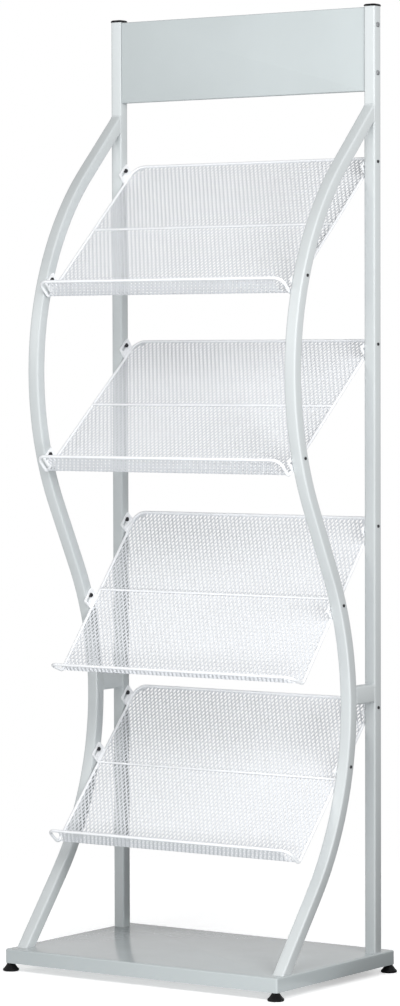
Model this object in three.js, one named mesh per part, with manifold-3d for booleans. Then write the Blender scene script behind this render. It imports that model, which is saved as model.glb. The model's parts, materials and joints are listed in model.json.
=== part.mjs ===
// A floor-standing display rack for periodicals.
// Two welded side frames of square steel tube stand on a folded steel base with four screw feet. Each frame
// is a straight rear upright, a front tube bent into an S, and a short brace between them. The frames carry a
// plain header panel and four sloping mesh trays, and each tray hangs on bolts by four slotted tabs.
// Millimetres. X runs to the right of someone facing the rack, Y to the back and Z up from the floor, with
// the origin on the floor under the middle of the base.
import * as THREE from "three";
import { mergeVertices } from "three/addons/utils/BufferGeometryUtils.js";
import Module from "manifold-3d";

const wasm = await Module();
wasm.setup();

const FIT = 0.3; // clearance between pieces that meet

// Base: a sheet folded down on four sides
const BASE_MARGIN = 5; // beyond the side frames, left and right
const BASE_DEPTH = 340;
const BASE_HEIGHT = 23;
const BASE_SHEET = 1.5;
const BASE_CORNER = 3;
const BASE_EDGE = 2;
const BASE_CLEARANCE = 13; // floor to the base's lower edge

// Screw feet in the base's corners
const FOOT_INSET = 6.5; // stem axis from both edges of the base
const FOOT_DIAMETER = 26.5;
const FOOT_RIM = 4.4; // height of the pad's rim
const FOOT_EDGE = 0.8; // how far the rim draws in at its top
const FOOT_FLARE = 0.8; // 1 is a straight cone, and less draws in sooner
const FOOT_NECK_DIAMETER = 11.6;
const FOOT_SOLE = 3; // pad material under the stem
const STEM_DIAMETER = 6;
const STEM_HEADROOM = 1.5; // from the stem's top to the underside of the base's sheet
const GUSSET_SIDE = 24; // tapped plate welded into each corner of the base
const GUSSET_THICKNESS = 4;

// Square tube of the side frames
const TUBE = 20;
const TUBE_CORNER = 3;
const TUBE_WALL = 1.5;
const TUBE_PLUG = 9; // threaded block welded into the foot of each tube

// Uprights and their caps
const UPRIGHT_SPACING = 498; // between the two centre lines
const UPRIGHT_INSET = 40; // centre line from the base's rear edge
const CAP_HEIGHT = 4;
const CAP_OVERHANG = 1; // how far the cap's head stands out from the tube
const CAP_PLUG = 16;
const CAP_PLUG_WALL = 2;
const CAP_PLUG_CORNER = 1;

// Front tube: three straight stretches joined by two bends of one radius, in the Y-Z plane. It leans back
// from its foot to the waist, forward to the bulge and back again until it meets the upright.
const FRONT_FOOT_INSET = 36; // centre line on the base, from its front edge
const FOOT_LEAN = THREE.MathUtils.degToRad(39); // each lean is from upright
const MIDDLE_LEAN = THREE.MathUtils.degToRad(27.6);
const TOP_LEAN = THREE.MathUtils.degToRad(45);
const FOOT_STRAIGHT = 142;
const MIDDLE_STRAIGHT = 115;
const JOIN_DROP = 36; // from the header down to the centre line on the upright's face
const BEND_STEP = THREE.MathUtils.degToRad(6);

// Brace between front tube and upright
const BRACE_HEIGHT = 29;
const BRACE_RISE = 17; // above the middle of the waist

// Header panel: a sheet folded back on four sides
const HEADER_GAP = 112; // from the top tray's rear bolts up to the panel
const HEADER_HEIGHT = 133;
const HEADER_DEPTH = 15;
const HEADER_SHEET = 1;
const HEADER_CORNER = 1.5;
const HEADER_EDGE = 1;
const HEADER_DROP = 1; // below the tops of the tubes
const HEADER_SETBACK = 2; // behind the front faces of the uprights
const HEADER_SCREW_SPACING = 76;

// Trays: a wire border round a mesh deck with an upturned lip
const TRAY_BOTTOM_Z = 430; // rear bolts of the bottom tray
const TRAY_SPACING = 290; // between rear bolts, going up
const TRAY_OVERHANG = 26; // rear wire behind the rear bolts, along the slope
const TRAY_NOSE = 9; // fold ahead of the foremost tab, along the slope
const LIP_HEIGHT = 36;
const WIRE = 5;
const WIRE_FOLD_RADIUS = 6;
const REAR_CORNER = 18; // radius of the border at the rear
const LIP_CORNER = 14; // radius of the border at the ends of the lip
const MIDDLE_WIRE = 4;
const MESH_SHEET = 1.2;
const MESH_COLUMNS = 9;
const MESH_ROWS = 7;
const MESH_STRAND = 12;
const MESH_MARGIN = 6;
// Degrees: how far the deck tilts from level, and how far the lip opens from the deck
const TRAY_ANGLES = {
  bottom_tray: { tilt: 47, lip: 95 },
  lower_tray: { tilt: 50, lip: 110 },
  upper_tray: { tilt: 40, lip: 95 },
  top_tray: { tilt: 42, lip: 95 },
};

// Slotted tabs that hang each tray on its bolts
const TAB_SHEET = 2;
const TAB_REAR = 11.5; // slot's rear centre to the tab's rear end
const TAB_FRONT = 6.5; // slot's front centre to the tab's front end
const TAB_TOP = 6.5; // slot's centre line to the tab's upper edge
const TAB_WELD = 0.8; // depth of the tab's weld into the border wire
const BOLT_ABOVE_DECK = 14;
const SLOT_TRAVEL = 11;

// Fasteners
const TRAY_BOLT = { shank: 5, head: 7.4, headHeight: 2.8, tip: 2.2 };
const HEADER_SCREW = { shank: 4, head: 8, headHeight: 2.4, tip: 4 };
const BASE_BOLT = { shank: 6, head: 10, headHeight: 4, reach: 7 };

// Facets of round pieces
const FASTENER_SIDES = 8;
const HOLE_SIDES = 10;
const WIRE_SIDES = 6;
const ROUND_SIDES = 16;
const CORNER_STEPS = 1;
const SLOT_STEPS = 2;
const BORDER_STEPS = 4;
const FLARE_STEPS = 4;

// Levels and faces that follow from the driving dimensions
const TRAYS = Object.entries(TRAY_ANGLES).map(([name, { tilt, lip }], i) => ({
  name,
  boltZ: TRAY_BOTTOM_Z + i * TRAY_SPACING,
  slope: THREE.MathUtils.degToRad(tilt),
  lipAngle: THREE.MathUtils.degToRad(lip),
}));
const HEADER_BOTTOM = TRAYS.at(-1).boltZ + HEADER_GAP;
const HEADER_TOP = HEADER_BOTTOM + HEADER_HEIGHT;
const JOIN_Z = HEADER_BOTTOM - JOIN_DROP;
const UPRIGHT_TOP = HEADER_TOP + HEADER_DROP;
const RACK_HEIGHT = UPRIGHT_TOP + CAP_HEIGHT;
const BASE_TOP = BASE_CLEARANCE + BASE_HEIGHT;
const BASE_WIDTH = UPRIGHT_SPACING + TUBE + 2 * BASE_MARGIN;
const FRONT_FOOT_Y = FRONT_FOOT_INSET - BASE_DEPTH / 2;
const UPRIGHT_X = UPRIGHT_SPACING / 2;
const UPRIGHT_Y = BASE_DEPTH / 2 - UPRIGHT_INSET;
const UPRIGHT_FRONT = UPRIGHT_Y - TUBE / 2;
const TUBE_BORE = TUBE - 2 * TUBE_WALL;
const BORE_CORNER = Math.max(TUBE_CORNER - TUBE_WALL, FIT);
const INNER_FACE = UPRIGHT_X - TUBE / 2;
const OUTER_FACE = UPRIGHT_X + TUBE / 2;
const TAB_OUTER = INNER_FACE - FIT;
const TAB_INNER = TAB_OUTER - TAB_SHEET;
const WIRE_X = TAB_INNER + TAB_WELD - WIRE / 2;
const MESH_X = WIRE_X - WIRE / 2 - FIT;
const HEADER_FRONT = UPRIGHT_FRONT + HEADER_SETBACK;
const HEADER_SCREW_Y = HEADER_FRONT + HEADER_DEPTH / 2;
const SIDES = [
  { side: "left", sign: -1 },
  { side: "right", sign: 1 },
];

// Finishes
const silverPaint = new THREE.MeshStandardMaterial({ color: 0xd2d7d6, roughness: 0.42, metalness: 0.1 });
const basePaint = new THREE.MeshStandardMaterial({ color: 0xc4cac9, roughness: 0.28, metalness: 0.1 });
const headerPaint = new THREE.MeshStandardMaterial({ color: 0xcbd2d1, roughness: 0.45, metalness: 0.1 });
const whiteCoat = new THREE.MeshStandardMaterial({ color: 0xf3f5f6, roughness: 0.5, metalness: 0 });
const blackPlastic = new THREE.MeshStandardMaterial({ color: 0x151515, roughness: 0.55, metalness: 0 });
const darkSteel = new THREE.MeshStandardMaterial({ color: 0x3b3d40, roughness: 0.4, metalness: 0.9 });
const brightZinc = new THREE.MeshStandardMaterial({ color: 0xb8bcbe, roughness: 0.35, metalness: 0.9 });

const rack = new THREE.Group();

function add(parent, name, geometry, material) {
  const mesh = new THREE.Mesh(geometry, material);
  mesh.name = name;
  parent.add(mesh);
  return mesh;
}

// Solids for joining and cutting

function solid(geometry) {
  const bare = new THREE.BufferGeometry();
  bare.setAttribute("position", geometry.getAttribute("position"));
  bare.setIndex(geometry.getIndex());
  const merged = mergeVertices(bare, 1e-3);
  return new wasm.Manifold(
    new wasm.Mesh({
      numProp: 3,
      vertProperties: merged.attributes.position.array,
      triVerts: new Uint32Array(merged.index.array),
    }),
  );
}

function geometryOf(body) {
  const mesh = body.getMesh();
  const geometry = new THREE.BufferGeometry();
  geometry.setAttribute("position", new THREE.BufferAttribute(mesh.vertProperties, 3));
  geometry.setIndex(new THREE.BufferAttribute(mesh.triVerts, 1));
  return geometry;
}

function cut(geometry, tools) {
  return geometryOf(tools.reduce((body, tool) => body.subtract(solid(tool)), solid(geometry)));
}

function join(geometry, others) {
  return geometryOf(others.reduce((body, other) => body.add(solid(other)), solid(geometry)));
}

// Basic forms

function roundedRectangle(width, height, radius) {
  const x = width / 2 - radius;
  const y = height / 2 - radius;
  const shape = new THREE.Shape();
  shape.moveTo(x + radius, -y);
  shape.absarc(x, y, radius, 0, Math.PI / 2);
  shape.absarc(-x, y, radius, Math.PI / 2, Math.PI);
  shape.absarc(-x, -y, radius, Math.PI, 1.5 * Math.PI);
  shape.absarc(x, -y, radius, 1.5 * Math.PI, 2 * Math.PI);
  return shape;
}

function prism(shape, bottom, top, curveSegments = CORNER_STEPS) {
  const depth = top - bottom;
  const geometry = new THREE.ExtrudeGeometry(shape, { depth, bevelEnabled: false, curveSegments });
  return geometry.translate(0, 0, bottom);
}

// An upright block with rounded corners, and a smaller rounding along its upper and lower edges
function roundedBlock(width, depth, bottom, top, corner, edge) {
  const geometry = new THREE.ExtrudeGeometry(roundedRectangle(width, depth, corner), {
    depth: top - bottom - 2 * edge,
    bevelThickness: edge,
    bevelSize: edge,
    bevelOffset: -edge,
    bevelSegments: CORNER_STEPS,
    curveSegments: CORNER_STEPS,
  });
  return geometry.translate(0, 0, bottom + edge);
}

function block(x0, x1, y0, y1, z0, z1) {
  const geometry = new THREE.BoxGeometry(x1 - x0, y1 - y0, z1 - z0);
  return geometry.translate((x0 + x1) / 2, (y0 + y1) / 2, (z0 + z1) / 2);
}

function rodAlongX(diameter, x0, x1, y, z, sides) {
  const geometry = new THREE.CylinderGeometry(diameter / 2, diameter / 2, x1 - x0, sides);
  return geometry.rotateZ(Math.PI / 2).translate((x0 + x1) / 2, y, z);
}

function rodAlongZ(diameter, x, y, z0, z1, sides) {
  const geometry = new THREE.CylinderGeometry(diameter / 2, diameter / 2, z1 - z0, sides);
  return geometry.rotateX(Math.PI / 2).translate(x, y, (z0 + z1) / 2);
}

// A turned piece on the Z axis, from [radius, height] pairs that run upwards
function turned(profile, sides) {
  const points = profile.map(([radius, height]) => new THREE.Vector2(radius, height));
  return new THREE.LatheGeometry(points, sides).rotateX(Math.PI / 2);
}

// A closed skin through rings of points, with a cap at each end unless the rings run in a loop
function skin(rings, loop = false) {
  const count = rings[0].length;
  const index = [];
  const bands = loop ? rings.length : rings.length - 1;
  for (let i = 0; i < bands; i++) {
    const a = i * count;
    const b = ((i + 1) % rings.length) * count;
    for (let k = 0; k < count; k++) {
      const next = (k + 1) % count;
      index.push(a + k, a + next, b + next, a + k, b + next, b + k);
    }
  }
  const last = (rings.length - 1) * count;
  for (let k = 1; !loop && k < count - 1; k++) {
    index.push(0, k + 1, k, last, last + k, last + k + 1);
  }
  const geometry = new THREE.BufferGeometry().setFromPoints(rings.flat());
  return geometry.setIndex(index);
}

// A bolt along X with its head towards the middle of the rack, or away from it
function boltAlongX({ shank, head, headHeight }, headX, tipX, y, z) {
  const length = Math.abs(tipX - headX);
  const bolt = turned(
    [
      [0, -headHeight],
      [head / 2 - headHeight / 4, -headHeight],
      [head / 2, -headHeight / 3],
      [head / 2, 0],
      [shank / 2, 0],
      [shank / 2, length],
      [0, length],
    ],
    FASTENER_SIDES,
  );
  return bolt.rotateY((Math.sign(tipX - headX) * Math.PI) / 2).translate(headX, y, z);
}

// Front tube

const onCircle = (centre, radius, angle) =>
  new THREE.Vector2(centre.x + radius * Math.cos(angle), centre.y + radius * Math.sin(angle));

// The one bending radius that brings the tube from its foot to the upright's face at the height of the join.
// The reach and the rise of the whole line are sums of its straights and bends, and the last straight is as
// long as it needs to be.
function bendRadius() {
  const straightReach = FOOT_STRAIGHT * Math.sin(FOOT_LEAN) - MIDDLE_STRAIGHT * Math.sin(MIDDLE_LEAN);
  const straightRise = FOOT_STRAIGHT * Math.cos(FOOT_LEAN) + MIDDLE_STRAIGHT * Math.cos(MIDDLE_LEAN);
  const reach = UPRIGHT_FRONT - FRONT_FOOT_Y - straightReach;
  const rise = JOIN_Z - BASE_TOP - straightRise;
  const reachPerRadius = 2 * Math.cos(MIDDLE_LEAN) - Math.cos(FOOT_LEAN) - Math.cos(TOP_LEAN);
  const risePerRadius = Math.sin(FOOT_LEAN) + 2 * Math.sin(MIDDLE_LEAN) + Math.sin(TOP_LEAN);
  const slope = Math.tan(TOP_LEAN);
  return (rise * slope - reach) / (risePerRadius * slope - reachPerRadius);
}

// Centres of the two bends, in the Y-Z plane
const BEND_RADIUS = bendRadius();
const WAIST_CENTRE = onCircle(
  new THREE.Vector2(
    FRONT_FOOT_Y + FOOT_STRAIGHT * Math.sin(FOOT_LEAN),
    BASE_TOP + FOOT_STRAIGHT * Math.cos(FOOT_LEAN),
  ),
  BEND_RADIUS,
  Math.PI - FOOT_LEAN,
);
const BULGE_CENTRE = onCircle(WAIST_CENTRE, 2 * BEND_RADIUS, MIDDLE_LEAN).add(
  new THREE.Vector2(-MIDDLE_STRAIGHT * Math.sin(MIDDLE_LEAN), MIDDLE_STRAIGHT * Math.cos(MIDDLE_LEAN)),
);

// The centre line in the Y-Z plane, from the foot on the base up to the face of the upright
function frontTubePath() {
  const bendStart = onCircle(WAIST_CENTRE, BEND_RADIUS, -FOOT_LEAN);
  const path = new THREE.Path();
  path.moveTo(FRONT_FOOT_Y, BASE_TOP);
  path.lineTo(bendStart.x, bendStart.y);
  path.absarc(WAIST_CENTRE.x, WAIST_CENTRE.y, BEND_RADIUS, -FOOT_LEAN, MIDDLE_LEAN, false);
  path.absarc(BULGE_CENTRE.x, BULGE_CENTRE.y, BEND_RADIUS, Math.PI + MIDDLE_LEAN, Math.PI - TOP_LEAN, true);
  path.lineTo(UPRIGHT_FRONT, JOIN_Z);
  return path;
}

// Points along the centre line with the direction of travel at each
function frontTubeStations() {
  const stations = [];
  for (const curve of frontTubePath().curves) {
    const turn = curve.isEllipseCurve ? Math.abs(curve.aEndAngle - curve.aStartAngle) : 0;
    const steps = Math.max(1, Math.ceil(turn / BEND_STEP));
    for (let i = stations.length ? 1 : 0; i <= steps; i++) {
      stations.push({ at: curve.getPoint(i / steps), along: curve.getTangent(i / steps) });
    }
  }
  return stations;
}

// The tube's skin for one section, cut level at the foot and upright where it meets the upright
function frontTubeSkin(x, size, radius, footZ, topY) {
  const section = roundedRectangle(size, size, radius).getPoints(CORNER_STEPS);
  section.pop();
  const stations = frontTubeStations();
  const rings = stations.map(({ at, along }, i) =>
    section.map(({ x: u, y: v }) => {
      const point = new THREE.Vector2(at.x + v * along.y, at.y - v * along.x);
      if (i === 0) point.addScaledVector(along, (footZ - point.y) / along.y);
      if (i === stations.length - 1) point.addScaledVector(along, (topY - point.x) / along.x);
      return new THREE.Vector3(x + u, point.x, point.y);
    }),
  );
  return skin(rings);
}

// Where a tray's bolt line, running down from the rear bolts, crosses the front tube's centre line
function frontBolt({ boltZ, slope }) {
  const down = new THREE.Vector2(-Math.cos(slope), -Math.sin(slope));
  const side = ({ at }) => (at.x - UPRIGHT_Y) * down.y - (at.y - boltZ) * down.x;
  const stations = frontTubeStations();
  const i = stations.findIndex((station, k) => k > 0 && side(station) * side(stations[k - 1]) <= 0);
  const [a, b] = [stations[i - 1], stations[i]];
  const point = a.at.clone().lerp(b.at, side(a) / (side(a) - side(b)));
  const span = Math.hypot(point.x - UPRIGHT_Y, point.y - boltZ);
  return { y: point.x, z: point.y, span };
}

const boltHole = (sign, y, z, fastener) =>
  rodAlongX(fastener.shank + 2 * FIT, sign * UPRIGHT_X - TUBE, sign * UPRIGHT_X + TUBE, y, z, HOLE_SIDES);

const plugHole = (x, y) =>
  rodAlongZ(BASE_BOLT.shank + 2 * FIT, x, y, BASE_TOP - FIT, BASE_TOP + BASE_BOLT.reach + FIT, HOLE_SIDES);

function frontTube(sign) {
  const x = sign * UPRIGHT_X;
  const outside = frontTubeSkin(x, TUBE, TUBE_CORNER, BASE_TOP, UPRIGHT_FRONT);
  const bore = frontTubeSkin(x, TUBE_BORE, BORE_CORNER, BASE_TOP + TUBE_PLUG, UPRIGHT_FRONT + TUBE_WALL);
  const holes = TRAYS.map(frontBolt).map(({ y, z }) => boltHole(sign, y, z, TRAY_BOLT));
  return cut(outside, [bore, plugHole(x, FRONT_FOOT_Y), ...holes]);
}

// Uprights, braces, caps

const headerScrewHeights = [-0.5, 0.5].map((k) => HEADER_TOP - HEADER_HEIGHT / 2 + k * HEADER_SCREW_SPACING);

function upright(sign) {
  const x = sign * UPRIGHT_X;
  const place = (geometry) => geometry.translate(x, UPRIGHT_Y, 0);
  const outside = place(prism(roundedRectangle(TUBE, TUBE, TUBE_CORNER), BASE_TOP, UPRIGHT_TOP));
  const boreShape = roundedRectangle(TUBE_BORE, TUBE_BORE, BORE_CORNER);
  const bore = place(prism(boreShape, BASE_TOP + TUBE_PLUG, UPRIGHT_TOP + FIT));
  const trayHoles = TRAYS.map(({ boltZ }) => boltHole(sign, UPRIGHT_Y, boltZ, TRAY_BOLT));
  const screwHoles = headerScrewHeights.map((z) => boltHole(sign, HEADER_SCREW_Y, z, HEADER_SCREW));
  return cut(outside, [bore, plugHole(x, UPRIGHT_Y), ...trayHoles, ...screwHoles]);
}

// A short tube whose front end is shaped to the back of the front tube
function brace(sign) {
  const x = sign * UPRIGHT_X;
  const start = WAIST_CENTRE.x + BEND_RADIUS + TUBE / 4;
  const stand = (geometry) => geometry.rotateX(-Math.PI / 2).translate(x, 0, WAIST_CENTRE.y + BRACE_RISE);
  const bore = roundedRectangle(TUBE_BORE, BRACE_HEIGHT - 2 * TUBE_WALL, BORE_CORNER);
  const outside = stand(prism(roundedRectangle(TUBE, BRACE_HEIGHT, TUBE_CORNER), start, UPRIGHT_FRONT));
  const inside = stand(prism(bore, start - FIT, UPRIGHT_FRONT + FIT));
  const meeting = frontTubeSkin(x, TUBE + 2 * FIT, TUBE_CORNER + FIT, BASE_TOP, UPRIGHT_FRONT);
  return cut(outside, [inside, meeting]);
}

// A domed head on a hollow plug that fits the tube's bore
function topCap(sign) {
  const width = TUBE + 2 * CAP_OVERHANG;
  const plugWidth = TUBE_BORE - 2 * FIT;
  const corner = TUBE_CORNER + CAP_OVERHANG;
  const dome = roundedBlock(width, width, UPRIGHT_TOP - CAP_HEIGHT, RACK_HEIGHT, corner, CAP_HEIGHT / 2);
  const under = block(-width, width, -width, width, UPRIGHT_TOP - 2 * CAP_HEIGHT, UPRIGHT_TOP);
  const plugBottom = UPRIGHT_TOP - CAP_PLUG;
  const plugShape = roundedRectangle(plugWidth, plugWidth, CAP_PLUG_CORNER);
  const plug = prism(plugShape, plugBottom, RACK_HEIGHT - CAP_HEIGHT / 2);
  const hollowWidth = plugWidth - 2 * CAP_PLUG_WALL;
  const hollowShape = roundedRectangle(hollowWidth, hollowWidth, CAP_PLUG_CORNER);
  const hollow = prism(hollowShape, plugBottom - FIT, UPRIGHT_TOP);
  const cap = cut(join(cut(dome, [under]), [plug]), [hollow]);
  return cap.translate(sign * UPRIGHT_X, UPRIGHT_Y, 0);
}

for (const { side, sign } of SIDES) {
  add(rack, `${side}_upright`, upright(sign), silverPaint);
  add(rack, `${side}_front_tube`, frontTube(sign), silverPaint);
  add(rack, `${side}_brace`, brace(sign), silverPaint);
  add(rack, `${side}_top_cap`, topCap(sign), blackPlastic);
}

// Header panel and its screws

function headerPanel() {
  const x = INNER_FACE - FIT;
  const back = HEADER_FRONT + HEADER_DEPTH;
  const outside = roundedBlock(2 * x, HEADER_HEIGHT, 0, 2 * HEADER_DEPTH, HEADER_CORNER, HEADER_EDGE);
  outside.rotateX(-Math.PI / 2).translate(0, HEADER_FRONT, HEADER_TOP - HEADER_HEIGHT / 2);
  const behind = block(-2 * x, 2 * x, back, back + 2 * HEADER_DEPTH, HEADER_BOTTOM - FIT, HEADER_TOP + FIT);
  const hollow = block(
    HEADER_SHEET - x,
    x - HEADER_SHEET,
    HEADER_FRONT + HEADER_SHEET,
    back + FIT,
    HEADER_BOTTOM + HEADER_SHEET,
    HEADER_TOP - HEADER_SHEET,
  );
  const holeDiameter = HEADER_SCREW.shank + 2 * FIT;
  const holes = headerScrewHeights.map((z) =>
    rodAlongX(holeDiameter, -UPRIGHT_X, UPRIGHT_X, HEADER_SCREW_Y, z, HOLE_SIDES),
  );
  return cut(outside, [behind, hollow, ...holes]);
}

add(rack, "header_panel", headerPanel(), headerPaint);
for (const { side, sign } of SIDES) {
  headerScrewHeights.forEach((z, i) => {
    const tipX = sign * (INNER_FACE - FIT - HEADER_SHEET - HEADER_SCREW.tip);
    const screw = boltAlongX(HEADER_SCREW, sign * (OUTER_FACE + FIT), tipX, HEADER_SCREW_Y, z);
    add(rack, `${side}_${i ? "upper" : "lower"}_header_screw`, screw, brightZinc);
  });
}

// Base, its bolts and its feet

const corners = SIDES.flatMap(({ side, sign }) => [
  { name: `front_${side}`, sign, tubeY: FRONT_FOOT_Y, footY: FOOT_INSET - BASE_DEPTH / 2 },
  { name: `rear_${side}`, sign, tubeY: UPRIGHT_Y, footY: BASE_DEPTH / 2 - FOOT_INSET },
]).map((corner) => ({ ...corner, footX: corner.sign * (BASE_WIDTH / 2 - FOOT_INSET) }));

function basePan() {
  const wall = BASE_SHEET;
  const floor = BASE_TOP - 2 * BASE_HEIGHT;
  const outside = roundedBlock(BASE_WIDTH, BASE_DEPTH, floor, BASE_TOP, BASE_CORNER, BASE_EDGE);
  const [x, y] = [BASE_WIDTH / 2, BASE_DEPTH / 2];
  const below = block(-2 * x, 2 * x, -2 * y, 2 * y, BASE_TOP - 3 * BASE_HEIGHT, BASE_CLEARANCE);
  const hollow = block(wall - x, x - wall, wall - y, y - wall, BASE_CLEARANCE - FIT, BASE_TOP - wall);
  const gussets = corners.map(({ sign, footY }) => {
    const edges = (half) => [half - wall / 2, half - wall - GUSSET_SIDE];
    const xs = edges(x).map((edge) => sign * edge);
    const ys = edges(y).map((edge) => Math.sign(footY) * edge);
    const plan = [Math.min(...xs), Math.max(...xs), Math.min(...ys), Math.max(...ys)];
    return block(...plan, BASE_CLEARANCE, BASE_CLEARANCE + GUSSET_THICKNESS);
  });
  const stemHoles = corners.map(({ footX, footY }) =>
    rodAlongZ(STEM_DIAMETER + 2 * FIT, footX, footY, 0, BASE_CLEARANCE + 2 * GUSSET_THICKNESS, ROUND_SIDES),
  );
  const boltDiameter = BASE_BOLT.shank + 2 * FIT;
  const boltHoles = corners.map(({ sign, tubeY }) =>
    rodAlongZ(boltDiameter, sign * UPRIGHT_X, tubeY, BASE_TOP - 2 * wall, BASE_TOP + FIT, HOLE_SIDES),
  );
  return cut(join(cut(outside, [below, hollow]), gussets), [...stemHoles, ...boltHoles]);
}

// Head under the base's sheet, shank up into the plug of the tube
function baseBolt(x, y) {
  const { shank, head, headHeight, reach } = BASE_BOLT;
  const seat = BASE_TOP - BASE_SHEET - FIT;
  const bolt = turned(
    [
      [0, seat - headHeight],
      [head / 2, seat - headHeight],
      [head / 2, seat],
      [shank / 2, seat],
      [shank / 2, BASE_TOP + reach],
      [0, BASE_TOP + reach],
    ],
    FASTENER_SIDES,
  );
  return bolt.translate(x, y, 0);
}

// A pad on a flat sole, whose sides draw in from a rim to a neck, with a socket for the stem
function footPad(x, y) {
  const top = BASE_CLEARANCE - FIT;
  const socket = STEM_DIAMETER / 2 + FIT;
  const rim = FOOT_DIAMETER / 2;
  const shoulder = rim - FOOT_EDGE;
  const flare = shoulder - FOOT_NECK_DIAMETER / 2;
  const profile = [
    [0, 0],
    [rim, 0],
    [rim, FOOT_RIM / 2],
  ];
  for (let i = 0; i <= FLARE_STEPS; i++) {
    const share = i / FLARE_STEPS;
    profile.push([shoulder - flare * share ** FOOT_FLARE, FOOT_RIM + (top - FOOT_RIM) * share]);
  }
  profile.push([socket, top], [socket, FOOT_SOLE - FIT], [0, FOOT_SOLE - FIT]);
  return turned(profile, ROUND_SIDES).translate(x, y, 0);
}

function footStem(x, y) {
  const top = BASE_TOP - BASE_SHEET - STEM_HEADROOM;
  return rodAlongZ(STEM_DIAMETER, x, y, FOOT_SOLE, top, ROUND_SIDES);
}

add(rack, "base_pan", basePan(), basePaint);
for (const { name, sign, tubeY, footX, footY } of corners) {
  add(rack, `${name}_base_bolt`, baseBolt(sign * UPRIGHT_X, tubeY), darkSteel);
  add(rack, `${name}_foot_pad`, footPad(footX, footY), blackPlastic);
  add(rack, `${name}_foot_stem`, footStem(footX, footY), brightZinc);
}

// Trays. In a tray's own frame X is across, Y runs up the slope and Z stands square to the deck, with the
// origin between its two rear bolts.

const DECK_Z = -BOLT_ABOVE_DECK;
const REAR_Y = TRAY_OVERHANG;
const TAB_NOSE = SLOT_TRAVEL + TAB_FRONT;
const LONGEST_SPAN = Math.max(...TRAYS.map((tray) => frontBolt(tray).span));
const FOLD_Y = -LONGEST_SPAN - TAB_NOSE - TRAY_NOSE;

// Turns a shape drawn in X-Y to stand in the Y-Z plane, with its thickness along X
const sideOn = new THREE.Matrix4().makeBasis(
  new THREE.Vector3(0, 1, 0),
  new THREE.Vector3(0, 0, 1),
  new THREE.Vector3(1, 0, 0),
);

// The border's centre line: rear edge, sides, up the ends of the lip and along its top
function borderLine(lipAngle) {
  const half = [];
  const onLip = (x, height) =>
    new THREE.Vector3(x, FOLD_Y + height * Math.cos(lipAngle), DECK_Z + height * Math.sin(lipAngle));
  const arc = (steps, turn, place) => {
    for (let i = 0; i <= steps; i++) half.push(place((turn * i) / steps));
  };
  arc(BORDER_STEPS, Math.PI / 2, (a) => {
    const x = WIRE_X - REAR_CORNER * (1 - Math.sin(a));
    return new THREE.Vector3(x, REAR_Y - REAR_CORNER * (1 - Math.cos(a)), DECK_Z);
  });
  const turn = Math.PI - lipAngle;
  const start = FOLD_Y + WIRE_FOLD_RADIUS * Math.tan(turn / 2);
  arc(BORDER_STEPS, turn, (a) => {
    const y = start - WIRE_FOLD_RADIUS * Math.sin(a);
    return new THREE.Vector3(WIRE_X, y, DECK_Z + WIRE_FOLD_RADIUS * (1 - Math.cos(a)));
  });
  arc(BORDER_STEPS, Math.PI / 2, (a) =>
    onLip(WIRE_X - LIP_CORNER * (1 - Math.cos(a)), LIP_HEIGHT - LIP_CORNER * (1 - Math.sin(a))),
  );
  const mirrored = half.map(({ x, y, z }) => new THREE.Vector3(-x, y, z)).reverse();
  return [...half, ...mirrored];
}

// A round wire along a closed line, with the section turned evenly so that its ends meet
function wireLoop(line, diameter, sides) {
  const count = line.length;
  const along = line.map((_, i) => {
    const before = line[(i + count - 1) % count];
    return line[(i + 1) % count].clone().sub(before).normalize();
  });
  const carry = (normal, direction) =>
    normal.clone().addScaledVector(direction, -normal.dot(direction)).normalize();
  const normals = [carry(new THREE.Vector3(0, 0, 1), along[0])];
  for (let i = 1; i <= count; i++) normals.push(carry(normals[i - 1], along[i % count]));
  const first = normals[0];
  const last = normals[count];
  const twist = Math.atan2(last.clone().cross(first).dot(along[0]), last.dot(first));
  const rings = line.map((centre, i) => {
    const up = normals[i].clone().applyAxisAngle(along[i], (twist * i) / count);
    const across = along[i].clone().cross(up);
    return Array.from({ length: sides }, (_, k) => {
      const angle = (2 * Math.PI * k) / sides;
      const out = up.clone().multiplyScalar(Math.cos(angle)).addScaledVector(across, Math.sin(angle));
      return centre.clone().addScaledVector(out, diameter / 2);
    });
  });
  return skin(rings, true);
}

// A plate that stands on the border wire, with a slot that leads forward from the bolt
function tab(sign, y) {
  const slotRadius = TRAY_BOLT.shank / 2 + FIT;
  const shape = new THREE.Shape();
  const bottom = DECK_Z - WIRE / 4;
  shape.moveTo(TAB_REAR, bottom);
  shape.lineTo(TAB_REAR, TAB_TOP);
  shape.lineTo(-TAB_NOSE, TAB_TOP);
  shape.lineTo(-TAB_NOSE, bottom);
  const slot = new THREE.Path();
  slot.absarc(0, 0, slotRadius, -Math.PI / 2, Math.PI / 2);
  slot.absarc(-SLOT_TRAVEL, 0, slotRadius, Math.PI / 2, 1.5 * Math.PI);
  shape.holes.push(slot);
  const [x0, x1] = [sign * TAB_INNER, sign * TAB_OUTER].sort((a, b) => a - b);
  const geometry = prism(shape, x0, x1, SLOT_STEPS);
  return geometry.applyMatrix4(sideOn).translate(0, y, 0);
}

function trayFrame(span, lipAngle) {
  const tabs = SIDES.flatMap(({ sign }) => [tab(sign, 0), tab(sign, -span)]);
  return join(wireLoop(borderLine(lipAngle), WIRE, WIRE_SIDES), tabs);
}

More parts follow.
